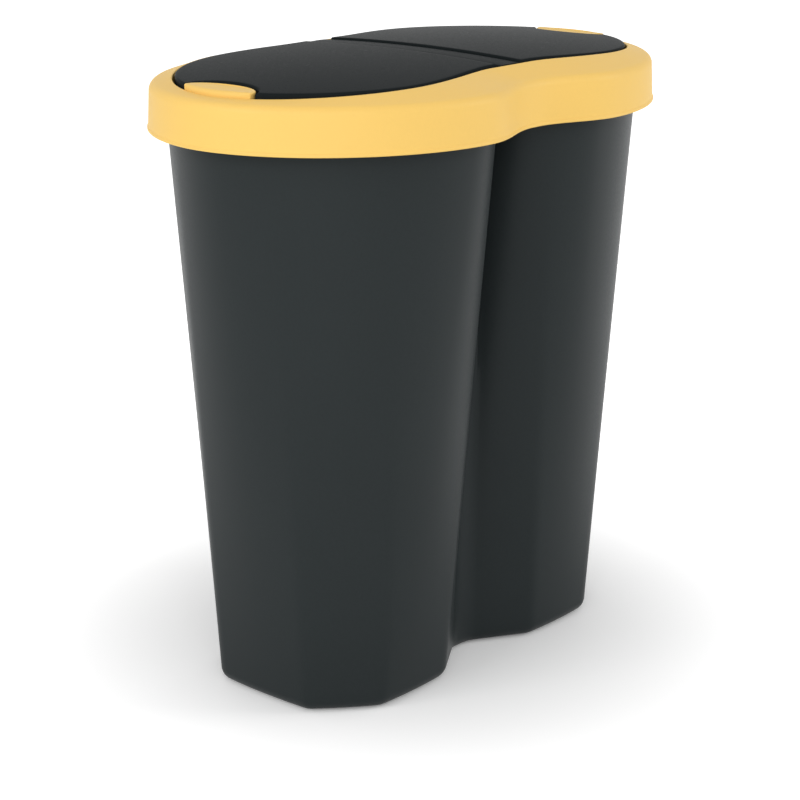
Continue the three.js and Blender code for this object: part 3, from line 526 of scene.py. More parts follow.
def crown_surface():
    """Lifts a flat piece onto the lids' crown, as far as its follow attribute says."""
    tree, given = new_tree(crown_surface, ("Half Length", "Half Depth", "End Drop", "Side Drop"))
    place = add(tree, "ShaderNodeSeparateXYZ", {0: add(tree, "GeometryNodeInputPosition")}).outputs
    follow = add(tree, "GeometryNodeInputNamedAttribute", {"Name": "follow"}, data_type="FLOAT")
    falls = []
    for axis, (half, drop) in enumerate((("Half Length", "End Drop"), ("Half Depth", "Side Drop"))):
        square = reckon(tree, "POWER", reckon(tree, "DIVIDE", place[axis], given[half]), 2.0)
        falls.append(reckon(tree, "MULTIPLY", square, given[drop]))
    fall = reckon(tree, "MULTIPLY", reckon(tree, "ADD", *falls), follow)
    offset = add(tree, "ShaderNodeCombineXYZ", {2: reckon(tree, "MULTIPLY", fall, -1.0)})
    lifted = add(tree, "GeometryNodeSetPosition", {"Geometry": given["Geometry"], "Offset": offset})
    return end_tree(tree, lifted, given)


def row_along_depth():
    """Repeats the piece in a straight row along Y, centred on its own place."""
    tree, given = new_tree(row_along_depth, ("Count", "Spacing"))
    total = reckon(tree, "MULTIPLY", reckon(tree, "SUBTRACT", given["Count"], 1.0), given["Spacing"])
    first = add(tree, "ShaderNodeCombineXYZ", {1: reckon(tree, "MULTIPLY", total, -0.5)})
    step = add(tree, "ShaderNodeCombineXYZ", {1: given["Spacing"]})
    line = add(tree, "GeometryNodeMeshLine", {"Count": given["Count"], "Start Location": first,
                                              "Offset": step}, mode="OFFSET")
    copies = add(tree, "GeometryNodeInstanceOnPoints", {"Points": line, "Instance": given["Geometry"]})
    return end_tree(tree, copies, given)


def ribs_along_path():
    """Stands upright ribs across the path that the object's edges draw, at even steps."""
    tree, given = new_tree(ribs_along_path, ("Count", "Length", "Thickness", "Height"))
    path = add(tree, "GeometryNodeMeshToCurve", {"Mesh": given["Geometry"]})
    places = add(tree, "GeometryNodeCurveToPoints", {"Curve": path, "Count": given["Count"]}, mode="COUNT")
    size = add(tree, "ShaderNodeCombineXYZ", {0: given["Thickness"], 1: given["Length"], 2: given["Height"]})
    rib = add(tree, "GeometryNodeMeshCube", {"Size": size})
    turn = add(tree, "FunctionNodeAlignRotationToVector", {"Vector": places.outputs["Tangent"]},
               axis="X", pivot_axis="Z")
    copies = add(tree, "GeometryNodeInstanceOnPoints", {"Points": places.outputs["Points"],
                                                        "Instance": rib, "Rotation": turn})
    return end_tree(tree, copies, given)


def wire_coil():
    """Winds a round wire into a spring that stands on its own place."""
    tree, given = new_tree(wire_coil, ("Turns", "Radius", "Height", "Wire Radius"))
    path = add(tree, "GeometryNodeCurveSpiral", {
        "Resolution": 36, "Rotations": given["Turns"], "Start Radius": given["Radius"],
        "End Radius": given["Radius"], "Height": given["Height"]})
    wire = add(tree, "GeometryNodeCurvePrimitiveCircle", {"Resolution": 12, "Radius": given["Wire Radius"]},
               mode="RADIUS")
    coil = add(tree, "GeometryNodeCurveToMesh", {"Curve": path, "Profile Curve": wire, "Fill Caps": True})
    return end_tree(tree, coil, given)


# ---------------------------------------------------------------- materials
def finish(slot, tint, roughness, specular, grain, metallic=0.0, mottle=0.05, stretch=(1, 1, 1)):
    """A moulded or plated finish: slow tone drift, a satin break-up of the gloss and a fine surface grain."""
    tree = emptied(bpy.data.materials.new(f"{slot}_finish"))
    place = add(tree, "ShaderNodeTexCoord").outputs["Object"]
    at = add(tree, "ShaderNodeMapping", {"Vector": place, "Scale": stretch})
    drift, fleck, fine = (add(tree, "ShaderNodeTexNoise", {"Vector": at, "Scale": scale, "Detail": detail})
                          for scale, detail in ((7.0, 3.0), (420.0, 2.0), (1700.0, 1.0)))
    tone = reckon(tree, "MULTIPLY", reckon(tree, "ADD", drift, fleck), 0.5)
    ramp = add(tree, "ShaderNodeValToRGB", {0: tone})
    for stop, position, change in zip(ramp.color_ramp.elements, (0.35, 0.65), (1 - mottle, 1 + mottle)):
        stop.position, stop.color = position, (*(min(1.0, channel * change) for channel in tint), 1)
    uneven = 0.03
    gloss = add(tree, "ShaderNodeMapRange", {"Value": fleck, "From Min": 0.3, "From Max": 0.7,
                                             "To Min": roughness - uneven, "To Max": roughness + uneven})
    waves = add(tree, "ShaderNodeBump", {"Height": drift, "Strength": 0.1, "Distance": 0.001})
    bump = add(tree, "ShaderNodeBump", {"Height": fine, "Strength": grain, "Distance": 0.0001,
                                        "Normal": waves})
    shader = add(tree, "ShaderNodeBsdfPrincipled", {
        "Base Color": ramp, "Metallic": metallic, "Roughness": gloss, "Specular IOR Level": specular,
        "Normal": bump})
    add(tree, "ShaderNodeOutputMaterial", {"Surface": shader})


class BIN_OT_finishes(bpy.types.Operator):
    """Make the plastics and the plated steel that the pieces are finished in"""
    bl_idname = "twin_bin.finishes"
    bl_label = "Finishes"

    def execute(self, context):
        tints = context.scene.bin_finish
        finish("tub_plastic", tints.tub, 0.4, 0.1, 0.15)
        finish("lid_plastic", tints.lid, 0.3, 0.0028, 0.04)
        finish("collar_plastic", tints.collar, 0.5, 0.3, 0.2, mottle=0.012)
        finish("bucket_plastic", tints.bucket, 0.55, 0.35, 0.3)
        finish("steel", tints.steel, 0.3, 0.5, 0.1, metallic=1.0, stretch=(1, 0.05, 1))
        return {"FINISHED"}


# ---------------------------------------------------------------- tub
def bowed(corners, steps, bulge):
    """Points along the foot's sides, each bowed out a little; the last side is straight."""
    points = []
    for part, count in enumerate(steps):
        start, end = np.array(corners[part]), np.array(corners[part + 1])
        span = np.linalg.norm(end - start)
        outward = np.array([end[1] - start[1], start[0] - end[0]]) / span
        share = np.arange(count) / count
        bow = 4 * share * (1 - share) if part else 2 * (1 - share ** 2)
        if part == len(steps) - 1:
            bow = 0 * share
        points.append(start + (end - start) * share[:, None] + outward * (bow * bulge * span)[:, None])
    return np.concatenate(points + [[corners[-1]]])


def tub_outlines():
    """The tub's outline at its foot and under the collar, point for point."""
    tub, collar = settings("tub", "collar")
    steps = (14, 18, 22, 18)
    foot = whole(bowed([(tub.foot_length, 0), (tub.foot_length, tub.foot_end),
                        (tub.corner_outer, tub.foot_depth), (tub.corner_inner, tub.foot_depth),
                        (tub.waist_flat, tub.waist_half)], steps, tub.bulge))
    half_length, half_depth = collar.half_length - tub.top_inset, collar.half_depth - tub.top_inset
    centre, shoulder = collar.lobe_centre, collar.lobe_centre - tub.waist_flat
    end_angle = math.asin((tub.crease_end / half_depth) ** (collar.power / 2))
    outer_angle = math.acos(((tub.crease_outer - centre) / (half_length - centre)) ** (collar.power / 2))
    inner_angle = math.asin((centre - tub.crease_inner) / shoulder)
    quarter_turn = math.pi / 2
    marks = [0, end_angle / quarter_turn, outer_angle / quarter_turn, 1 + inner_angle / quarter_turn, 2]
    places = np.r_[np.concatenate([np.linspace(marks[k], marks[k + 1], n, endpoint=False)
                                   for k, n in enumerate(steps)]), 2]
    angle = np.minimum(places, 1) * quarter_turn
    turn = (np.maximum(places, 1) - 1) * quarter_turn
    lobe = np.stack([centre + (half_length - centre) * np.cos(angle).clip(0) ** (2 / collar.power),
                     half_depth * np.sin(angle) ** (2 / collar.power)], 1)
    valley = np.stack([centre - shoulder * np.sin(turn),
                       tub.valley_half + (half_depth - tub.valley_half) * np.cos(turn)], 1)
    return foot, whole(np.where(places[:, None] <= 1, lobe, valley))


def tub_outline(z):
    """The tub's outer outline at a height, with its creases softened."""
    tub, collar = settings("tub", "collar")
    foot, top = tub_outlines()
    share = (z - tub.foot_radius) / (collar.bottom - tub.foot_radius)
    return softened(foot + (top - foot) * share, tub.crease_round)


class BIN_OT_tub(bpy.types.Operator):
    """Make the twin-lobed tub with its rolled rim and foot"""
    bl_idname = "twin_bin.tub"
    bl_label = "Tub"

    def execute(self, context):
        tub = context.scene.bin_tub
        hollow, floor, band, step = 0.007, 0.003, 0.0075, 0.0005
        shares = (0.25, 0.5, 0.75)
        foot = inset(tub_outline(0), tub.foot_radius)
        recess = inset(foot, band + 3 * step)
        rings = [ring(points, hollow) for points in towards(0, recess, (*shares, 1))]
        rings += [ring(inset(foot, band + 2 * step), hollow - step), ring(inset(foot, band + step), step),
                  ring(inset(foot, band), 0)]
        rings += foot_rings(tub_outline, 0, tub.foot_radius, 0, 10)
        under = tub.rim - 0.003
        heights = np.linspace(tub.foot_radius, under, 30)[1:]
        rings += [ring(tub_outline(z), z) for z in heights]
        rings += self.rim(tub, tub_outline(under), under, step)
        rings += [ring(inset(tub_outline(z), tub.wall), z) for z in heights[::-1]]
        inside = foot_rings(tub_outline, hollow + floor, tub.foot_radius, tub.wall, 8)[::-1]
        rings += inside
        rings += [ring(points, hollow + floor) for points in towards(0, inside[-1][:, :2], shares[::-1])]
        shell = solid("tub_shell", rings, (0, 0, hollow), (0, 0, hollow + floor))
        dress(shade(shell, 35), "bin", "tub_plastic", "twin_tub")
        return {"FINISHED"}

    def rim(self, tub, outline, under, step):
        """The rolled rim, from its underside over the top. It turns out less in the valleys."""
        valley_half, fade, held_back, roll = 0.02, 0.03, 0.7, 0.0015
        in_valley = 1 - ((np.abs(outline[:, 0]) - valley_half) / fade).clip(0, 1)
        depth = (tub.rim_width - tub.wall) * (1 - held_back * in_valley)
        turn = under - tub.rim_turn
        return [ring(inset(outline, distance), z) for distance, z in (
            (step - depth + tub.wall, under), (tub.wall - depth, under - step), (tub.wall - depth, turn),
            (-depth, turn), (-depth, tub.rim - roll), (EDGE - depth, tub.rim - EDGE),
            (roll - depth, tub.rim), (tub.wall - MM, tub.rim), (tub.wall, tub.rim - MM))]


# ---------------------------------------------------------------- collar
def collar_section():
    """Rings of the collar's section, from the lower edge over the ledge to the lip and back inside."""
    collar, opening = settings("collar", "opening")
    outer, mouth = whole(quarter(collar)), whole(quarter(opening))
    mouth_z = opening_height(mouth[:, 0])
    bead_top = collar.bottom + collar.bead_height
    radius, edge = collar.shoulder_radius, opening.edge_radius
    drawn = collar.bead + collar.draft
    rings = [ring(inset(outer, EDGE), collar.bottom), ring(outer, collar.bottom + EDGE),
             ring(outer, bead_top - EDGE), ring(inset(outer, EDGE / 2), bead_top)]
    low = bead_top + collar.bead
    for share in (0, 0.25, 0.5, 0.75):
        z = low + (collar.shoulder - radius - low) * share
        rings.append(ring(inset(outer, collar.bead + collar.draft * share), z))
    slope = np.arctan2(mouth_z - collar.shoulder, np.linalg.norm(outer - mouth, axis=1) - drawn - radius)
    for share in np.linspace(0, 1, 9):
        angle = share * (math.pi / 2 - slope)
        rings.append(ring(inset(outer, drawn + radius * (1 - np.cos(angle))),
                          collar.shoulder - radius + radius * np.sin(angle)))
    start, end = rings[-1], ring(inset(mouth, -edge), mouth_z)
    rings += [start + (end - start) * share for share in (0.2, 0.4, 0.6, 0.8, 0.93)]
    rings += [ring(inset(mouth, -edge * inward), mouth_z - edge * down) for down, inward in arc(5)]
    lip, lip_bottom = inset(mouth, -opening.lip_wall), mouth_z - opening.lip_depth
    rings += [ring(mouth, mouth_z - 6 * MM), ring(mouth, lip_bottom), ring(lip, lip_bottom),
              ring(lip, mouth_z - collar.ledge - MM)]
    rings += [ring(inset(outer, distance), z) for distance, z in (
        (drawn + radius + MM, collar.shoulder - collar.ledge),
        (collar.wall + drawn, collar.shoulder - radius), (collar.wall, bead_top),
        (collar.wall, collar.bottom + EDGE), (collar.wall - EDGE, collar.bottom))]
    return rings


def pad_outline(outer_inset, margin, steps=48):
    """D-shaped outline of the right-hand latch pad, grown by a margin on its inner side."""
    latch = bpy.context.scene.bin_latch
    half = latch.half_width + margin
    chord = opening_end(half) - max(outer_inset, 0) - NOTCH_CORNER
    reach = chord - (latch.chord - latch.reach - margin)
    y = np.linspace(-half, half, steps + 1)
    angle = np.linspace(0, math.pi, steps + 1)
    outer = np.stack([opening_end(y) - outer_inset, y], 1)
    inner = np.stack([chord - reach * np.sin(angle), half * np.cos(angle)], 1)
    return np.concatenate([outer, inner])


class BIN_OT_collar(bpy.types.Operator):
    """Make the yellow collar with its lip, latch trays, hinge seats and gussets"""
    bl_idname = "twin_bin.collar"
    bl_label = "Collar"

    def execute(self, context):
        collar, opening, latch = settings("collar", "opening", "latch")
        hardware, bridge = settings("hardware", "bridge")
        shell = new_object("collar_shell", *skin(collar_section(), closed=True))
        tray_play, tray_margin, seat_half, soft = 0.0008, 0.0032, 0.005, 0.0006
        low, high = latch.tray_floor, latch.tray_rim
        tray = prism("tray", pad_outline(-opening.lip_wall / 2, tray_margin), low, high)
        hollow = prism("hollow", pad_outline(0, tray_play), low + TRAY_WALL, high + MM)
        joined = [both_sides(carved(tray, cut=[hollow]))]
        seat_y, seat_end = opening.waist_half + opening.lip_wall / 2, hardware.rod_half + collar.wall
        inside = opening.waist_half - bridge.end_gap - bridge.foot
        for side in HANDS.values():
            joined.append(block(0, bridge.half_width, side * inside, side * seat_y, bridge.shelf,
                                bridge.shelf + bridge.shelf_thickness, soft))
            joined.append(block(0, bridge.half_width, side * opening.waist_half, side * seat_y, bridge.shelf,
                                opening.waist_height - collar.ledge))
            for hand in HANDS.values():
                joined.append(block(hand * hardware.rod_x, seat_half, side * seat_y, side * seat_end,
                                    hardware.rod_z - seat_half, hardware.rod_z + MM))
        reach = hardware.rod_half + PLAY
        bores = [pin("bore", hardware.rod_radius + PLAY, -reach, reach, hand * hardware.rod_x, hardware.rod_z)
                 for hand in HANDS.values()]
        dress(shade(carved(shell, joined, bores)), "bin", "collar_plastic", "collar")
        self.gussets()
        return {"FINISHED"}

    def gussets(self):
        """Stands the ribs between the collar's wall and its lip, over the tub's rim."""
        collar, opening, tub = settings("collar", "opening", "tub")
        outer = inset(whole(quarter(collar)), collar.wall)
        lip = inset(whole(quarter(opening)), -opening.lip_wall)
        below_shoulder, nearer_wall, reach, thickness = 0.0045, 0.1, 0.007, 0.002
        low, high = tub.rim + PLAY, collar.shoulder - below_shoulder
        path = resampled((outer + lip) / 2 + (outer - lip) * nearer_wall, 360)
        edges = [(i, (i + 1) % len(path)) for i in range(len(path))]
        obj = new_object("gussets", ring(path, (low + high) / 2), [], edges)
        run_tree(obj, ribs_along_path, "collar_plastic", Count=collar.gussets, Length=reach,
                 Thickness=thickness, Height=high - low)
        dress(shade(obj, 35), "bin", "collar_plastic")


# ---------------------------------------------------------------- lids
def lid_outline(gap, notch_margin):
    """The right-hand lid seen from above: the opening's edge, the straight inner side and the pad's notch."""
    lid, opening, latch = settings("lid", "opening", "latch")
    edge = lid.inner_edge + gap - lid.gap
    half = opening.waist_half - gap
    rim = inset(whole(quarter(opening, 90, 60)), gap)
    pad_half = latch.half_width + notch_margin
    upper = rim[(rim[:, 1] > pad_half) & (rim[:, 0] > edge)]
    upper = upper[np.argsort(np.arctan2(upper[:, 1], upper[:, 0] - opening.lobe_centre))]
    corner_x = np.interp(pad_half, upper[:4, 1], upper[:4, 0])
    chord = min(opening_end(pad_half) - NOTCH_CORNER, corner_x)
    reach = chord - (latch.chord - latch.reach - notch_margin)
    side = np.concatenate([[(corner_x, pad_half)], upper, [(edge, half)]])
    inner_y = np.linspace(half, -half, 120)[1:-1]
    angle = np.linspace(-math.pi / 2, math.pi / 2, 61)[1:-1]
    notch = np.stack([chord - reach * np.cos(angle), pad_half * np.sin(angle)], 1)
    loop = np.concatenate([side, np.stack([np.full_like(inner_y, edge), inner_y], 1),
                           side[::-1] * (1, -1), notch])
    count, corner = 720, 0.0012
    return softened(resampled(loop, count), corner)


def lid_bottom(outline):
    """Height of the skirt's edge at each point, and how far it follows the crown.
    It is level beside the bridge, where it clears the rods, and over the latch tray."""
    lid, latch, hardware = settings("lid", "latch", "hardware")
    past_pad = 0.0047
    margin = past_pad + latch.tray_gap
    over_tray = (np.abs(outline[:, 1]) < latch.half_width + margin) & (
        outline[:, 0] > latch.chord - latch.reach - margin)
    beside_bridge = outline[:, 0] < hardware.rod_x
    height = np.where(over_tray, latch.tray_rim + latch.tray_gap, lid.crown - lid.skirt)
    return np.where(beside_bridge, lid.inner_bottom, height), np.where(over_tray | beside_bridge, 0.0, 1.0)


def follow_crown(obj, shares):
    """Stores how far each vertex follows the lids' crown."""
    attribute = obj.data.attributes.new("follow", "FLOAT", "POINT")
    attribute.data.foreach_set("value", shares.astype(np.float32))


def on_crown(obj):
    """Lifts a piece onto the lids' crown."""
    lid, collar, opening = settings("lid", "collar", "opening")
    return run_tree(obj, crown_surface, "lid_plastic", Half_Length=collar.half_length,
                    Half_Depth=opening.half_depth, End_Drop=lid.end_drop, Side_Drop=lid.side_drop)


def lid_shell():
    """The crowned shell of the right-hand lid."""
    lid, latch, opening = settings("lid", "latch", "opening")
    outer = lid_outline(lid.gap, latch.notch_gap)
    inner = lid_outline(lid.gap + lid.skin, latch.notch_gap + lid.skin)
    centre = np.array([opening.lobe_centre, 0])
    ceiling = lid.crown - lid.skin
    height, follow = lid_bottom(outer)
    below = [ring(points, ceiling) for points in towards(
        centre, inner, (0.12, 0.25, 0.4, 0.55, 0.7, 0.82, 0.92, 1))]
    edge = [ring(inner, height), ring(inset(outer, lid.skin * 0.8), height - EDGE / 2),
            ring(inset(outer, EDGE), height), ring(outer, height + EDGE)]
    above = rounded_over(outer, lid.edge_radius, lid.crown, 7)
    above += [ring(points, lid.crown) for points in towards(
        centre, inset(outer, lid.edge_radius), (0.97, 0.92, 0.84, 0.74, 0.62, 0.5, 0.38, 0.26, 0.15, 0.06))]
    obj = solid("right_lid_shell", below + edge + above, (*centre, ceiling), (*centre, lid.crown))
    follow_crown(obj, np.concatenate([np.ones(len(below) * len(outer)), np.tile(follow, len(edge)),
                                      np.ones(len(above) * len(outer) + 2)]))
    return on_crown(obj)


def lid_ribs():
    """Three stiffening ribs that run out from the knuckles under the lid's skin."""
    lid, hardware = settings("lid", "hardware")
    half, top = lid.rib_thickness / 2, lid.crown - lid.skin * 0.7
    low = lid.crown - lid.skin - lid.rib_depth
    rings = [[(x, -half, low), (x, half, low), (x, half, top), (x, -half, top)]
             for x in np.linspace(hardware.rod_x, lid.rib_reach, 24)]
    rib = solid("ribs", rings, *((x, 0, (low + top) / 2) for x in (hardware.rod_x, lid.rib_reach)))
    run_tree(rib, row_along_depth, "lid_plastic", Count=3, Spacing=hardware.knuckle_spacing)
    follow_crown(rib, np.ones(len(rib.data.vertices)))
    return on_crown(rib)


class BIN_OT_lids(bpy.types.Operator):
    """Make the two crowned lids with their hinge knuckles and ribs"""
    bl_idname = "twin_bin.lids"
    bl_label = "Lids"

    def execute(self, context):
        hardware, opening = settings("hardware", "opening")
        shell = lid_shell()
        half, radius, spacing = hardware.knuckle_length / 2, hardware.knuckle_radius, hardware.knuckle_spacing
        x, z, web_depth = hardware.rod_x, hardware.rod_z, 0.0006
        knuckles = pin("knuckles", radius, -half, half, x, z)
        webs = [block(x, radius, y - half, y + half, z, crown_height(x, abs(y) + half) - web_depth)
                for y in (-spacing, 0, spacing)]
        run_tree(knuckles, row_along_depth, "lid_plastic", Count=3, Spacing=spacing)
        drill = pin("drill", hardware.rod_radius + PLAY, -opening.waist_half, opening.waist_half, x, z)
        carved(shell, [lid_ribs(), knuckles, *webs], [drill])
        dress_pair(shade(shell), "{}_lid", "lid_plastic", "{}_lid")
        return {"FINISHED"}


class BIN_OT_bridge(bpy.types.Operator):
    """Make the fixed bridge between the lids and its two screws"""
    bl_idname = "twin_bin.bridge"
    bl_label = "Bridge"

    def execute(self, context):
        bridge, opening, lid = settings("bridge", "opening", "lid")
        half, wall, radius, arch = bridge.half_width, lid.skin, 0.0014, 0.0003
        top = lid.crown - bridge.set_down
        reach = opening.waist_half - bridge.end_gap
        right = [(half - radius * inward, top - radius * down, 1) for inward, down in arc(6)]
        crest = [(x, top + arch * (1 - (x / half) ** 2), 1)
                 for x in np.linspace(half - radius, radius - half, 9)[1:-1]]
        left = [(-x, z, follow) for x, z, follow in right[::-1]]
        under = [(-half + wall, bridge.bottom, 0), (-half + wall, top - wall, 1),
                 (half - wall, top - wall, 1), (half - wall, bridge.bottom, 0)]
        section = np.array([(half, bridge.bottom, 0), *right, *crest, *left,
                            (-half, bridge.bottom, 0), *under])
        stations = np.linspace(-reach, reach, 61)
        rings = [np.c_[section[:, 0], np.full(len(section), y), section[:, 1]] for y in stations]
        verts, faces = skin(rings)
        count = len(section)
        faces += [list(range(count))[::-1], list(range(len(verts) - count, len(verts)))]
        strip = new_object("bridge_strip", verts, faces)
        follow_crown(strip, np.tile(section[:, 2], len(rings)))
        strip.data.flip_normals()
        on_crown(strip)
        seat = bridge.shelf + bridge.shelf_thickness + PLAY
        side_inset, end_inset, top_inset, soft = 0.0012, 0.0002, 0.0015, 0.0005
        feet = [block(0, half - side_inset, side * (reach - end_inset), side * (reach - bridge.foot), seat,
                      opening.waist_height - top_inset, soft) for side in HANDS.values()]
        dress(shade(carved(strip, feet)), "bin", "lid_plastic", "centre_bridge")
        self.screws()
        return {"FINISHED"}

    def screws(self):
        """Two pan-head screws with a cross recess, driven up through the shelves."""
        bridge, hardware = settings("bridge", "hardware")
        head, head_depth, shank, pitch, thread = 0.0034, 0.0022, 0.0017, 0.0004, 0.0003
        bottom = bridge.shelf - PLAY
        low = bottom - head_depth
        disc = circle(48)
        lobes = np.abs(disc[:, 0] ** 2 - disc[:, 1] ** 2) ** 3
        cross = (0.35 + 0.65 * lobes)[:, None] * disc
        recess_half, recess_floor, recess_depth, turns, tip = 0.0016, 0.0012, 0.0012, 24, 28 * pitch
        rings = [ring(cross * recess_floor, low + recess_depth), ring(cross * recess_half, low)]
        rings += [ring(disc * radius, z) for radius, z in (
            (head * 0.7, low), (head * 0.92, low + 0.0005), (head, low + head_depth / 2),
            (head, bottom), (shank, bottom))]
        rings += [ring(disc * (shank - k % 2 * thread), bottom + pitch * (k + 1)) for k in range(turns)]
        screws = solid("bridge_screws", rings, (0, 0, low + recess_depth + EDGE / 2), (0, 0, bottom + tip))
        run_tree(screws, row_along_depth, "steel", Count=2, Spacing=2 * hardware.screw_y)
        dress(shade(screws, 35), "bin", "steel", "front_bridge_screw", "rear_bridge_screw")


# ---------------------------------------------------------------- latches
class BIN_OT_latches(bpy.types.Operator):
    """Make the two thumb pads and the springs under them"""
    bl_idname = "twin_bin.latches"
    bl_label = "Latches"

    def execute(self, context):
        latch = context.scene.bin_latch
        top = opening_height(latch.chord) + latch.rise
        skirt, foot, corner, hollow_x, hollow_y = 0.0035, 0.0009, 0.0006, 0.019, 0.032

        def outline(distance):
            points = resampled(pad_outline(latch.seam + distance, -distance), 240)
            return softened(points, corner)

        def dished(points):
            """Height of the pad's top: a shallow hollow for the thumb."""
            x = (points[:, 0] - latch.chord + latch.reach / 3) / hollow_x
            y = points[:, 1] / hollow_y
            return top - latch.dish * np.clip(1 - x ** 2 - y ** 2, 0, 1)

        middle = np.array([latch.chord - latch.reach * 0.35, 0])
        low, roof = latch.pivot_height - skirt, top - latch.skin - latch.dish
        side = outline(0)
        rings = [ring(points, roof) for points in towards(middle, outline(latch.skin), (0.3, 0.6, 1))]
        rings += [ring(outline(latch.skin + foot), low), ring(outline(foot), low),
                  ring(side, latch.pivot_height)]
        outward = np.clip((side[:, 0] - latch.chord + MM) / (2 * MM), 0, 1) * (
            1 - (np.abs(side[:, 1]) / latch.half_width).clip(0, 1) ** 6)
        radius = latch.edge_radius + (latch.heel_radius - latch.edge_radius) * outward
        rings += rounded_over(side, radius, top, 9)
        rings += [ring(points, dished(points)) for points in towards(
            middle, inset(side, radius), (0.96, 0.9, 0.82, 0.73, 0.63, 0.52, 0.4, 0.28, 0.15))]
        pad = solid("right_pad", rings, (*middle, roof), (*middle, dished(middle[None])[0]))
        peg_radius, peg_reach = 0.0022, 0.0024
        near, far = latch.half_width - latch.skin, latch.half_width + peg_reach
        pegs = [pin("peg", peg_radius, start, end, latch.chord - latch.pivot_setback, latch.pivot_height, 32)
                for start, end in ((-far, -near), (near, far))]
        dress_pair(shade(carved(pad, pegs)), "{}_latch", "collar_plastic", "{}_latch_pad")
        self.springs(roof)
        return {"FINISHED"}

    def springs(self, roof):
        latch, hardware = settings("latch", "hardware")
        wire, place = hardware.spring_wire, latch.chord - hardware.spring_setback
        low = latch.tray_floor + TRAY_WALL + PLAY + wire
        coil = new_object("right_spring", [(0, 0, 0)], [])
        run_tree(coil, wire_coil, "steel", Turns=hardware.spring_turns, Radius=hardware.spring_radius,
                 Height=roof - PLAY - wire - low, Wire_Radius=wire)
        shade(coil, 35).data.transform(Matrix.Translation((place, 0, low)))
        for hand, piece in dress_pair(coil, "bin", "steel", "{}_latch_spring").items():
            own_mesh(piece)


class BIN_OT_rods(bpy.types.Operator):
    """Make the two steel rods that the lids turn on"""
    bl_idname = "twin_bin.rods"
    bl_label = "Hinge Rods"

    def execute(self, context):
        hardware = context.scene.bin_hardware
        for hand, side in HANDS.items():
            rod = pin(f"{hand}_rod", hardware.rod_radius, -hardware.rod_half, hardware.rod_half,
                      side * hardware.rod_x, hardware.rod_z, 32, chamfer=0.0005)
            dress(shade(rod, 35), "bin", "steel", f"{hand}_hinge_rod")
        return {"FINISHED"}


# ---------------------------------------------------------------- buckets
BUCKET_MIDDLE = np.array([0.105, 0.0])


def polar(outline, centre, angles):
    """Distance from the centre to the outline in each direction."""
    offset = outline - centre
    bearing = np.arctan2(offset[:, 1], offset[:, 0])
    order = np.argsort(bearing)
    bearing, reach = bearing[order], np.linalg.norm(offset, axis=1)[order]
    return np.interp(angles, np.r_[bearing[-1] - 2 * math.pi, bearing, bearing[0] + 2 * math.pi],
                     np.r_[reach[-1], reach, reach[0]])


def bucket_outline(z, distance):
    """A lobe of the tub drawn in by a distance, cut off by the flat wall beside the other bucket."""
    bucket, tub = settings("bucket", "tub")
    count, far_reach, past_middle, corner = 288, 9.0, -0.015, 0.007
    wall_x = bucket.centre_gap / 2 + distance - bucket.clearance
    angles = np.linspace(-math.pi, math.pi, count, endpoint=False)
    direction = np.stack([np.cos(angles), np.sin(angles)], 1)
    lobe = inset(tub_outline(z), tub.wall + distance)
    reach = polar(lobe[lobe[:, 0] > past_middle], BUCKET_MIDDLE, angles)
    facing = direction[:, 0] < -0.05
    flat = np.where(facing, (wall_x - BUCKET_MIDDLE[0]) / np.where(facing, direction[:, 0], -1), far_reach)
    points = BUCKET_MIDDLE + direction * np.minimum(reach, flat)[:, None]
    return softened(resampled(points, count), corner)


class BIN_OT_buckets(bpy.types.Operator):
    """Make the two lift-out buckets with their hand holes"""
    bl_idname = "twin_bin.buckets"
    bl_label = "Buckets"

    def execute(self, context):
        bucket = context.scene.bin_bucket
        drawn, soft = bucket.clearance + bucket.rim_width, 0.0008
        inner = drawn + bucket.wall
        foot, floor, under = 0.008, bucket.bottom + bucket.wall, bucket.rim - 0.0024
        outside = foot_rings(lambda z: bucket_outline(z, drawn), bucket.bottom, foot, 0, 6)
        inside = foot_rings(lambda z: bucket_outline(z, inner), floor, foot - MM, 0, 6)
        heights = np.linspace(bucket.bottom + foot, under, 16)[1:]
        rings = [ring(points, bucket.bottom) for points in towards(
            BUCKET_MIDDLE, outside[0][:, :2], (0.3, 0.6, 0.85))]
        rings += outside + [ring(bucket_outline(z, drawn), z) for z in heights]
        lip = bucket_outline(under, bucket.clearance)
        rings += [ring(inset(lip, PLAY), under), ring(lip, under + PLAY),
                  ring(lip, bucket.rim - soft), ring(inset(lip, soft), bucket.rim),
                  ring(bucket_outline(bucket.rim, inner - soft), bucket.rim),
                  ring(bucket_outline(bucket.rim, inner), bucket.rim - soft)]
        rings += [ring(bucket_outline(z, inner), z) for z in heights[::-1]] + inside[::-1]
        rings += [ring(points, floor) for points in towards(
            BUCKET_MIDDLE, inside[0][:, :2], (0.85, 0.6, 0.3))]
        shell = solid("right_bucket_shell", rings, (*BUCKET_MIDDLE, bucket.bottom), (*BUCKET_MIDDLE, floor))
        wall_x = bucket.centre_gap / 2 + drawn - bucket.clearance
        top, half, through, corner = bucket.rim - bucket.hole_drop, bucket.hole_width / 2, 0.006, 0.0055
        hole = block(wall_x, through, -half, half, top - bucket.hole_height, top, corner, 5)
        dress_pair(shade(carved(shell, cut=[hole]), 35), "bin", "bucket_plastic", "{}_bucket")
        return {"FINISHED"}


# ---------------------------------------------------------------- studio
def toward(azimuth, elevation):
    """The direction from the bin to a camera or lamp."""
    a, e = math.radians(azimuth), math.radians(elevation)
    return Vector((math.sin(a) * math.cos(e), -math.cos(a) * math.cos(e), math.sin(e)))


def placed(name, data, aim, direction, distance):
    """Stands a camera or lamp off from the point that it faces."""
    obj = bpy.data.objects.new(name, data)
    obj.location = aim + direction * distance
    obj.rotation_euler = direction.to_track_quat("Z", "Y").to_euler()
    bpy.context.scene.collection.objects.link(obj)
    return obj


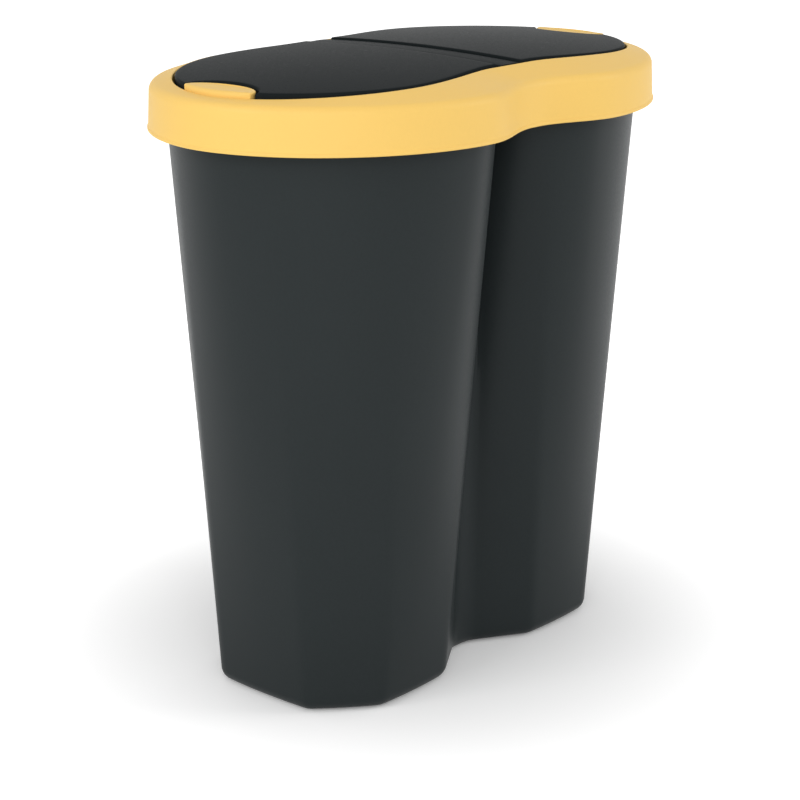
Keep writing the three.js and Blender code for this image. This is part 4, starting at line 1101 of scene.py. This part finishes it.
def soft_lamp(name, azimuth, elevation, size, power):
    """A square soft box that faces the bin."""
    lamp = bpy.data.lights.new(name, "AREA")
    lamp.shape, lamp.size, lamp.energy = "SQUARE", size, power
    aim, distance = Vector((0, 0, 0.3)), 2.4
    placed(name, lamp, aim, toward(azimuth, elevation), distance)


def shown_background(tree):
    """1 for rays that see the background: camera, glossy and transmission rays."""
    path = add(tree, "ShaderNodeLightPath").outputs
    seen = reckon(tree, "MAXIMUM", path["Is Camera Ray"], path["Is Glossy Ray"])
    return reckon(tree, "MAXIMUM", seen, path["Is Transmission Ray"])


class BIN_OT_stage(bpy.types.Operator):
    """Make the floor, the lamps, the surroundings and the camera"""
    bl_idname = "twin_bin.stage"
    bl_label = "Stage"

    def execute(self, context):
        scene = context.scene
        studio = scene.bin_studio
        scene.view_settings.view_transform = "Standard"
        self.floor(studio)
        world = scene.world = bpy.data.worlds.new("studio_room")
        tree = emptied(world)
        room = add(tree, "ShaderNodeBackground", {"Color": (1, 1, 1, 1), "Strength": studio.ambient})
        backdrop = add(tree, "ShaderNodeBackground", {"Color": (1, 1, 1, 1), "Strength": 1.0})
        mixed = add(tree, "ShaderNodeMixShader", {0: shown_background(tree), 1: room, 2: backdrop})
        add(tree, "ShaderNodeOutputWorld", {"Surface": mixed})

        soft_lamp("key_lamp", -98, 28, 1.2, 14)
        soft_lamp("front_lamp", -50, 22, 1.2, 12)
        soft_lamp("side_lamp", 40, 24, 1.0, 12)

        lens = bpy.data.cameras.new("camera")
        lens.lens, lens.sensor_width = studio.lens, 36
        direction = toward(studio.azimuth, studio.elevation)
        azimuth = math.radians(studio.azimuth)
        right = Vector((math.cos(azimuth), math.sin(azimuth), 0))
        aim = Vector((0, 0, studio.aim_height)) + right * studio.shift_right
        aim += direction.cross(right) * studio.shift_up
        scene.camera = placed("camera", lens, aim, direction, studio.distance)
        return {"FINISHED"}

    def floor(self, studio):
        """A sheet of paper that shows the bin's shadow and turns into the white background further out."""
        reach, sunk = 6.0, -0.0002
        corners = [(-reach, -reach, sunk), (reach, -reach, sunk), (reach, reach, sunk), (-reach, reach, sunk)]
        floor = new_object("floor", corners, [(0, 1, 2, 3)])
        paper = bpy.data.materials.new("studio_paper")
        tree = emptied(paper)
        matte = add(tree, "ShaderNodeBsdfDiffuse", {"Color": (*studio.floor, 1)})
        place = add(tree, "ShaderNodeTexCoord").outputs["Object"]
        away = add(tree, "ShaderNodeVectorMath", {0: place}, operation="LENGTH").outputs["Value"]
        faded = add(tree, "ShaderNodeMapRange", {
            "Value": away, "From Min": studio.floor_near, "From Max": studio.floor_far,
            "To Min": 0.1, "To Max": 0.7}, interpolation_type="SMOOTHSTEP")
        strength = reckon(tree, "MULTIPLY", shown_background(tree), faded)
        glow = add(tree, "ShaderNodeEmission", {"Color": (1, 1, 1, 1), "Strength": strength})
        both = add(tree, "ShaderNodeAddShader", {0: matte, 1: glow})
        add(tree, "ShaderNodeOutputMaterial", {"Surface": both})
        floor.data.materials.append(paper)


# ---------------------------------------------------------------- sidebar and registration
GROUPS = {"bin_collar": CollarSizes, "bin_opening": OpeningSizes, "bin_tub": TubSizes, "bin_lid": LidSizes,
          "bin_bridge": BridgeSizes, "bin_latch": LatchSizes, "bin_hardware": HardwareSizes,
          "bin_bucket": BucketSizes, "bin_finish": FinishColours, "bin_studio": StudioSettings}
OPERATORS = (BIN_OT_finishes, BIN_OT_tub, BIN_OT_collar, BIN_OT_lids, BIN_OT_bridge, BIN_OT_latches,
             BIN_OT_rods, BIN_OT_buckets, BIN_OT_stage)


class BIN_PT_sidebar(bpy.types.Panel):
    """Lists the steps that build the bin, with their sizes"""
    bl_idname = "BIN_PT_sidebar"
    bl_label = "Twin Bin"
    bl_space_type = "VIEW_3D"
    bl_region_type = "UI"
    bl_category = "Twin Bin"

    def draw(self, context):
        for operator in OPERATORS:
            self.layout.operator(operator.bl_idname)
        for key, group in GROUPS.items():
            column = self.layout.column(align=True)
            column.label(text=key.removeprefix("bin_").title())
            for name in group.__annotations__:
                column.prop(getattr(context.scene, key), name)


CLASSES = (*GROUPS.values(), *OPERATORS, BIN_PT_sidebar)


def register():
    for cls in CLASSES:
        bpy.utils.register_class(cls)
    for key, group in GROUPS.items():
        setattr(bpy.types.Scene, key, PointerProperty(type=group))


def unregister():
    for key in GROUPS:
        delattr(bpy.types.Scene, key)
    for cls in reversed(CLASSES):
        bpy.utils.unregister_class(cls)


def main():
    register()
    for operator in OPERATORS:
        name = operator.bl_idname.split(".")[1]
        if getattr(bpy.ops.twin_bin, name)() != {"FINISHED"}:
            raise RuntimeError(f"{name} did not finish")


if __name__ == "__main__":
    main()
